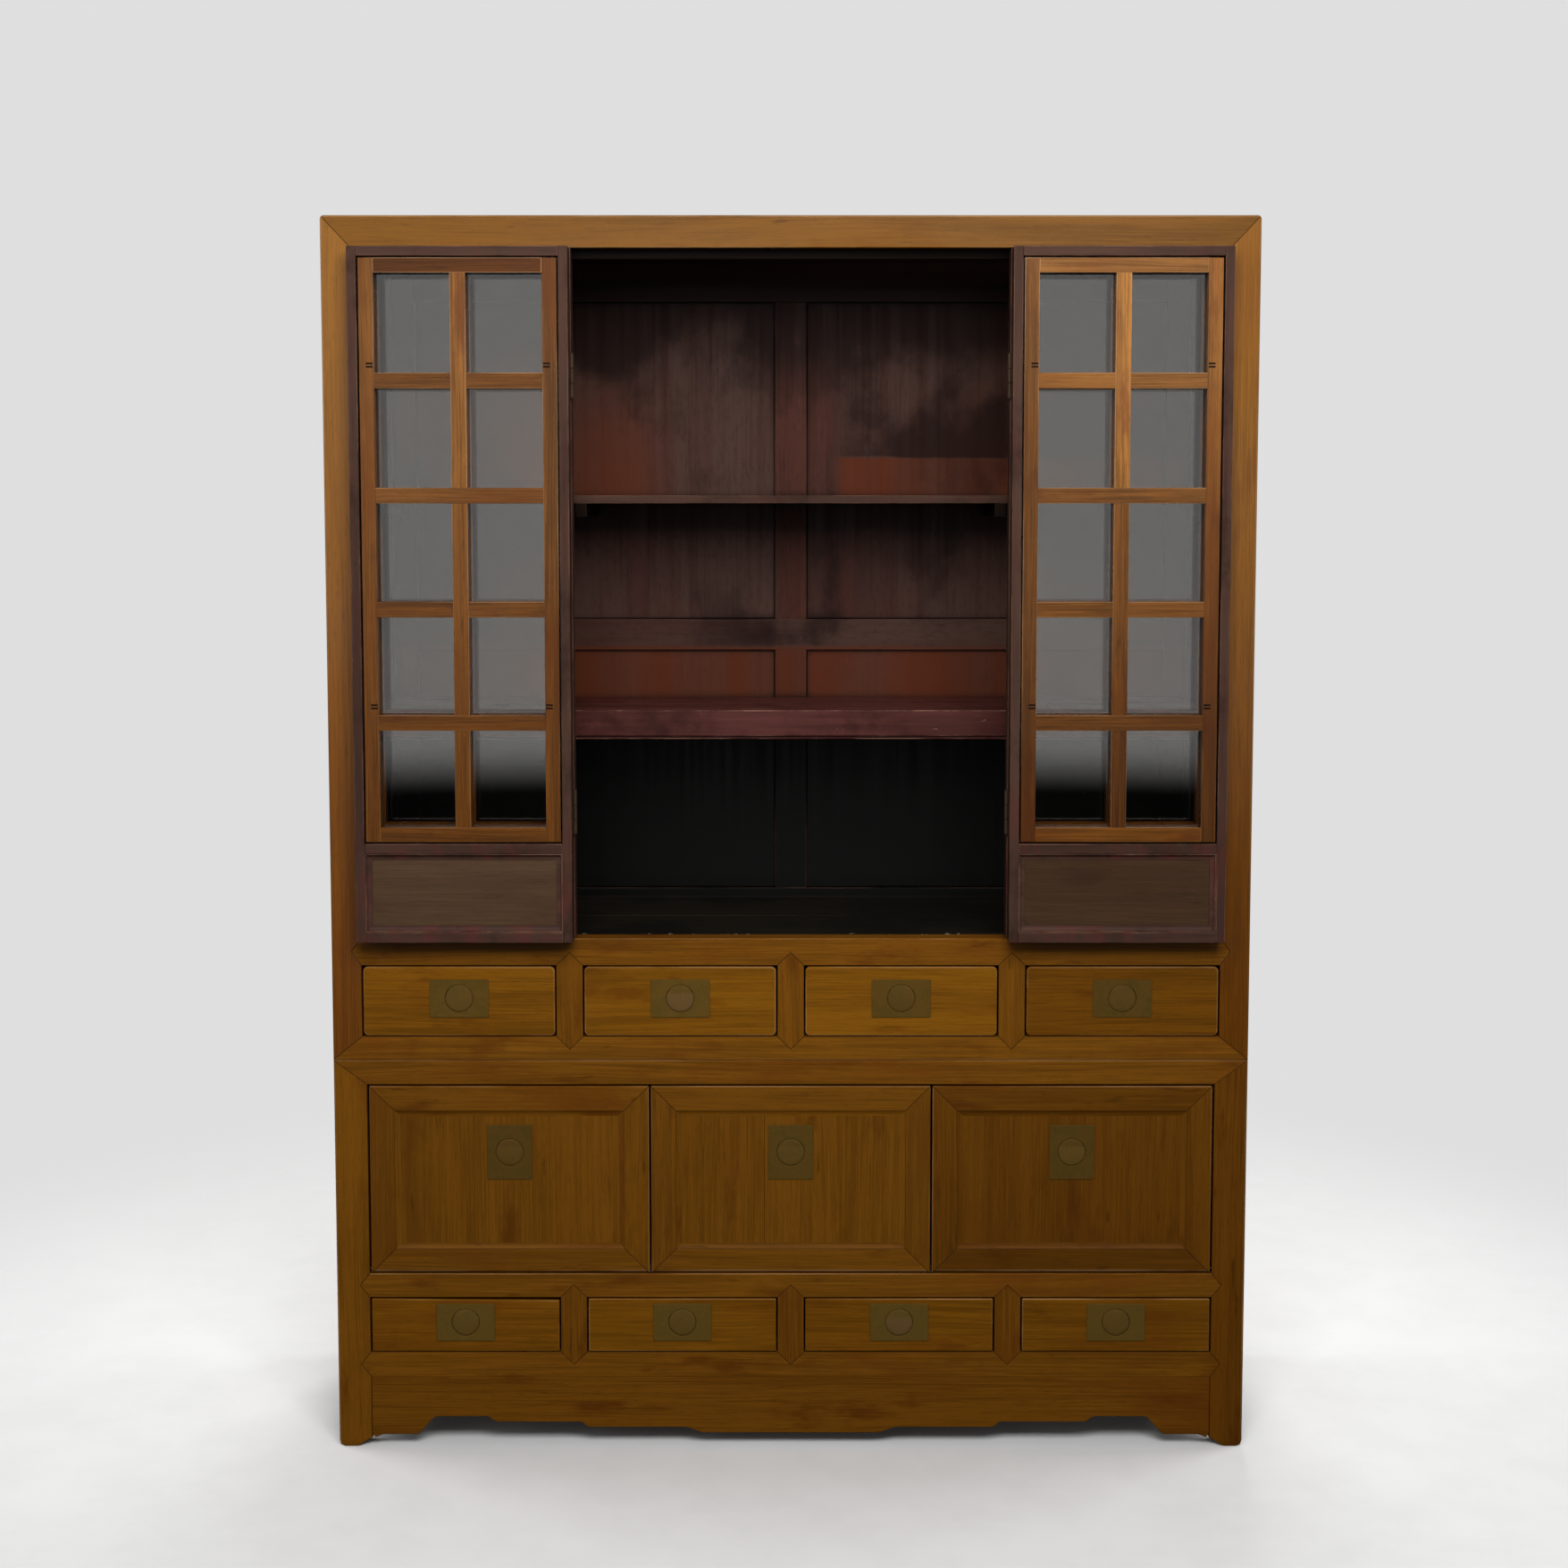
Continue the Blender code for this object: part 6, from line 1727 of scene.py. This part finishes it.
def hinges():
    """Butt hinges: end knuckles and pin heads on the fixed leaf, the middle knuckle on the folding one."""
    third = HINGE_LENGTH / 3
    ends = HINGE_LENGTH / 2 + PIN_HEAD_OUT
    tall = third - 2 * FLAP_GAP
    common = {"Turn": (0, 0, 0), "Sides": HINGE_SIDES, "Tone": 0.0, "Material": finish("dark_brass")}
    for side, out in SIDES:
        axis = JOINT[f"{side}_leaf_fold"]
        fixed, folding = Boards(f"{side}_hinge_fixed_half"), Boards(f"{side}_hinge_folding_half")
        x0, x1 = sorted(axis.x + out * reach for reach in FLAP)
        for height in HINGE_HEIGHTS:
            middle = LEAF_FOOT + height
            studs = (
                (fixed, middle - third, 2 * third, 2, 3, KNUCKLE),
                (folding, middle, third, 1, 5, KNUCKLE),
                (fixed, middle - ends, 2 * ends, 2, 4, PIN_HEAD),
            )
            for boards, first, step, count, seed, form in studs:
                row = {"First": (axis.x, axis.y, first), "Step": (0, 0, step), "Count": count, "Seed": seed}
                boards.absorb(grown("stud_row", **row, **form, **common))
            for lift in (-third, third):
                low = middle + lift - tall / 2
                fixed.bar((x0, axis.y, low), (x1, FACE + FLAP_DEEP, low + tall), "Z", ease=0.0)
            low = middle - tall / 2
            front = 2 * axis.y - FACE - FLAP_DEEP
            folding.bar((x0, front, low), (x1, axis.y, low + tall), "Z", ease=0.0)
        fixed.piece("case", finish("dark_brass"))
        folding.piece(f"{side}_leaf", finish("dark_brass"))


def leaf_pulls():
    """A small ring pull on each folding leaf's outer face, with its clinched pin on the inner face."""
    s = sizes()
    z = LEAF_FOOT + PULL_HEIGHT
    broad, narrow = PRONG_HALF
    for side, _ in SIDES:
        place = LeafPlace(side, True)
        x = place.x(place.wide - (s.leaf_stile + s.leaf_lip) / 2)[0]
        boards = Boards(f"{side}_leaf_pull")
        loops = [[(x + u, place.y(deep)[0], z + v) for u, v in circle(r, ROSE_STEPS)] for r, deep in ROSE]
        boards.rings(loops, "X")
        ring_wire(boards, (x, place.y(RING_OUT)[0], z - RING["radius"]), **RING)
        ring_wire(boards, (x, place.y(EYE_OUT)[0], z), **EYE, axis="X")
        inside = place.y(LEAF_THICK + PRONG_PROUD)[0]
        y0, y1 = sorted((inside, inside - place.way * PRONG_THICK))
        stem = place.x(place.wide - s.leaf_stile / 2)[0]
        for lift in (PRONG_START, -PRONG_START):
            foot, tip = z + lift, z + PRONG_STRETCH * lift
            prong = [(stem - broad, foot), (stem + broad, foot), (stem + narrow, tip), (stem - narrow, tip)]
            boards.add("Y", prong, y0, y1, "Z", ease=PRONG_EASE)
        boards.piece(place.body, finish("dark_brass"), smooth=True)


def ring_wire(boards, centre, radius, wire, axis="Y"):
    """A ring of round wire about an axis through its centre."""
    bm = bmesh.new()
    around, section = WIRE_STEPS
    made = []
    for c, d in circle(1.0, around):
        flat = [((radius + u) * c, v, (radius + u) * d) for u, v in circle(wire, section)]
        spots = flat if axis == "Y" else [(y, x, z) for x, y, z in flat]
        made.append([bm.verts.new(Vector(centre) + Vector(spot)) for spot in spots])
    for i in range(around):
        bridged(bm, made[i - 1], made[i])
    boards.shell(bm, "X")


# Stage
CAMERA_AWAY = 3.5
CAMERA_HEIGHT = 1.55
CAMERA_PITCH = math.radians(4.51)
PHOTO = 1755
FOCAL_PIXELS = 2455
PRINCIPAL = (885, 755)
SENSOR = 36.0
# The floor: where it ends, and between which distances it fades
FLOOR_REACH = 2.4
FLOOR_FADE = (0.75, 0.95 * FLOOR_REACH)
FLOOR_TINTS = ((0.80, 0.80, 0.80), (0.77, 0.77, 0.77))
# Name, place, aim, size and power of each lamp. The last three light the sides and the back only
LAMPS = (
    ("key_lamp", (0.2, -2.8, 3.0), (0.0, -0.2, 3.2), 2.0, 150.0),
    ("fill_lamp", (-2.6, -2.6, 2.2), (0.0, -0.2, 3.2), 2.0, 14.0),
    ("left_lamp", (-3.2, 0.9, 2.0), (-0.7, 0.1, 1.3), 1.6, 48.0),
    ("right_lamp", (3.2, 0.9, 2.0), (0.7, 0.1, 1.3), 1.6, 48.0),
    ("back_lamp", (0.4, 3.4, 2.6), (0.0, 0.2, 1.3), 2.0, 90.0),
)
# Heights of a direction, as its sine, between which the studio turns from dark to light, and both levels: as
# gloss and glass see it, and as it lights the rest
STUDIO_SEEN = (-0.132, -0.106, 0.008, 1.0)
STUDIO_SOFT = (-0.20, 0.30, 0.02, 0.26)


def camera():
    data = bpy.data.cameras.new("photo_camera")
    data.sensor_width = SENSOR
    data.lens = SENSOR * FOCAL_PIXELS / PHOTO
    data.shift_x = (PHOTO / 2 - PRINCIPAL[0]) / PHOTO
    data.shift_y = (PRINCIPAL[1] - PHOTO / 2) / PHOTO
    obj = bpy.data.objects.new("photo_camera", data)
    obj.location = (0.0, FACE - CAMERA_AWAY, CAMERA_HEIGHT)
    obj.rotation_euler = (math.pi / 2 - CAMERA_PITCH, 0, 0)
    bpy.context.scene.collection.objects.link(obj)
    bpy.context.scene.camera = obj


def pale_floor():
    """A pale floor that keeps the cabinet's shadow and fades into the background."""
    bm = bmesh.new()
    bmesh.ops.create_circle(bm, cap_ends=True, segments=96, radius=FLOOR_REACH)
    mesh = bpy.data.meshes.new("pale_floor")
    bm.to_mesh(mesh)
    bm.free()
    obj = bpy.data.objects.new("pale_floor", mesh)
    bpy.context.scene.collection.objects.link(obj)
    g = Graph("pale_floor")
    spot = g.spot()
    away = g.node("ShaderNodeVectorMath", {0: spot}, operation="LENGTH").outputs["Value"]
    speck = g.noise(spot, scale=9.0, detail=5.0, roughness=0.6)
    tint = g.mix(g.ramp(speck, 0.35, 0.7), *FLOOR_TINTS)
    g.set(Base_Color=tint, Roughness=0.9, Specular_IOR_Level=0.1)
    g.set(Alpha=g.ramp(away, *FLOOR_FADE, 1.0, 0.0))
    mesh.materials.append(g.material)
    obj.visible_glossy = False
    obj.visible_diffuse = False


def studio_light():
    """A pale studio that is darker below eye level, a soft lamp high in front and weaker ones all round."""
    world = bpy.data.worlds.new("studio")
    bpy.context.scene.world = world
    world.use_nodes = True
    studio = Tree(world.node_tree)
    path = studio.node("ShaderNodeLightPath").outputs
    height = studio.parts(studio.node("ShaderNodeTexCoord").outputs["Generated"])[2]
    seen = studio.ramp(height, *STUDIO_SEEN)
    level = studio.ramp(height, *STUDIO_SOFT)
    for ray, strength in (("Glossy", seen), ("Transmission", seen), ("Camera", colours().backdrop[0])):
        level = studio.node("ShaderNodeMix", {0: path[f"Is {ray} Ray"], 2: level, 3: strength}).outputs[0]
    background = studio.tree.nodes["Background"].inputs
    studio.feed(background["Strength"], level)
    studio.feed(background["Color"], (1.0, 1.0, 1.0, 1.0))
    for name, spot_at, aim_at, wide, power in LAMPS:
        data = bpy.data.lights.new(name, "AREA")
        data.shape = "SQUARE"
        data.size = wide
        data.energy = power
        obj = bpy.data.objects.new(name, data)
        obj.location = spot_at
        aim = Vector(aim_at) - Vector(spot_at)
        obj.rotation_euler = aim.to_track_quat("-Z", "Y").to_euler()
        obj.visible_glossy = False
        obj.visible_transmission = False
        bpy.context.scene.collection.objects.link(obj)
    bpy.context.scene.view_settings.view_transform = "Standard"


def stage():
    camera()
    pale_floor()
    studio_light()


# Operators
class CABINET_OT_stage(bpy.types.Operator):
    """Makes the camera, the pale floor, the world and the lamps."""

    bl_idname = "cabinet.stage"
    bl_label = "Stage"

    def execute(self, context):
        stage()
        return {"FINISHED"}


class CABINET_OT_upper_frame(bpy.types.Operator):
    """Makes the stiles, rails and dividers of the upper case."""

    bl_idname = "cabinet.upper_frame"
    bl_label = "Upper frame"

    def execute(self, context):
        upper_frame()
        return {"FINISHED"}


class CABINET_OT_lower_frame(bpy.types.Operator):
    """Makes the legs, rails, dividers and door pins of the lower case."""

    bl_idname = "cabinet.lower_frame"
    bl_label = "Lower frame"

    def execute(self, context):
        lower_frame()
        return {"FINISHED"}


class CABINET_OT_apron(bpy.types.Operator):
    """Makes the cusped board between the feet."""

    bl_idname = "cabinet.apron"
    bl_label = "Apron"

    def execute(self, context):
        apron()
        return {"FINISHED"}


class CABINET_OT_upper_sides(bpy.types.Operator):
    """Makes the framed sides of the upper case."""

    bl_idname = "cabinet.upper_sides"
    bl_label = "Upper sides"

    def execute(self, context):
        upper_sides()
        return {"FINISHED"}


class CABINET_OT_lower_sides(bpy.types.Operator):
    """Makes the framed sides of the lower case."""

    bl_idname = "cabinet.lower_sides"
    bl_label = "Lower sides"

    def execute(self, context):
        lower_sides()
        return {"FINISHED"}


class CABINET_OT_backs(bpy.types.Operator):
    """Makes the framed backs of both cases."""

    bl_idname = "cabinet.backs"
    bl_label = "Backs"

    def execute(self, context):
        backs()
        return {"FINISHED"}


class CABINET_OT_inner_boards(bpy.types.Operator):
    """Makes the tops, the book floor and the shelves, and gives the decks a finish."""

    bl_idname = "cabinet.inner_boards"
    bl_label = "Inner boards"

    def execute(self, context):
        inner_boards()
        return {"FINISHED"}


class CABINET_OT_drawers(bpy.types.Operator):
    """Makes the fronts and trays of the two drawer rows."""

    bl_idname = "cabinet.drawers"
    bl_label = "Drawers"

    def execute(self, context):
        drawers()
        return {"FINISHED"}


class CABINET_OT_doors(bpy.types.Operator):
    """Makes the three mitred doors with their sunk panels."""

    bl_idname = "cabinet.doors"
    bl_label = "Lower doors"

    def execute(self, context):
        doors()
        return {"FINISHED"}


class CABINET_OT_pulls(bpy.types.Operator):
    """Makes the bronze plates and their turning discs."""

    bl_idname = "cabinet.pulls"
    bl_label = "Disc pulls"

    def execute(self, context):
        pulls()
        return {"FINISHED"}


class CABINET_OT_leaves(bpy.types.Operator):
    """Makes the frames and lattices of the four leaves and gives their glass a finish."""

    bl_idname = "cabinet.leaves"
    bl_label = "Glazed leaves"

    def execute(self, context):
        glazed_leaves()
        return {"FINISHED"}


class CABINET_OT_hinges(bpy.types.Operator):
    """Makes the butt hinges at the leaf joints."""

    bl_idname = "cabinet.hinges"
    bl_label = "Hinges"

    def execute(self, context):
        hinges()
        return {"FINISHED"}


class CABINET_OT_leaf_pulls(bpy.types.Operator):
    """Makes the ring pulls of the folding leaves."""

    bl_idname = "cabinet.leaf_pulls"
    bl_label = "Leaf pulls"

    def execute(self, context):
        leaf_pulls()
        return {"FINISHED"}


OPERATORS = (
    CABINET_OT_stage,
    CABINET_OT_upper_frame,
    CABINET_OT_lower_frame,
    CABINET_OT_apron,
    CABINET_OT_upper_sides,
    CABINET_OT_lower_sides,
    CABINET_OT_backs,
    CABINET_OT_inner_boards,
    CABINET_OT_drawers,
    CABINET_OT_doors,
    CABINET_OT_pulls,
    CABINET_OT_leaves,
    CABINET_OT_hinges,
    CABINET_OT_leaf_pulls,
)


class CABINET_PT_sidebar(bpy.types.Panel):
    """Lists the cabinet's groups of pieces."""

    bl_label = "Library cabinet"
    bl_idname = "CABINET_PT_sidebar"
    bl_space_type = "VIEW_3D"
    bl_region_type = "UI"
    bl_category = "Cabinet"

    def draw(self, context):
        for made in OPERATORS:
            self.layout.operator(made.bl_idname)


CLASSES = (CabinetSizes, CabinetColours, *OPERATORS, CABINET_PT_sidebar)


def register():
    for made in CLASSES:
        bpy.utils.register_class(made)
    bpy.types.Scene.cabinet_sizes = PointerProperty(type=CabinetSizes)
    bpy.types.Scene.cabinet_colours = PointerProperty(type=CabinetColours)


def unregister():
    del bpy.types.Scene.cabinet_colours
    del bpy.types.Scene.cabinet_sizes
    for made in reversed(CLASSES):
        bpy.utils.unregister_class(made)


def main():
    register()
    for made in OPERATORS:
        getattr(bpy.ops.cabinet, made.bl_idname.split(".")[1])()


if __name__ == "__main__":
    main()
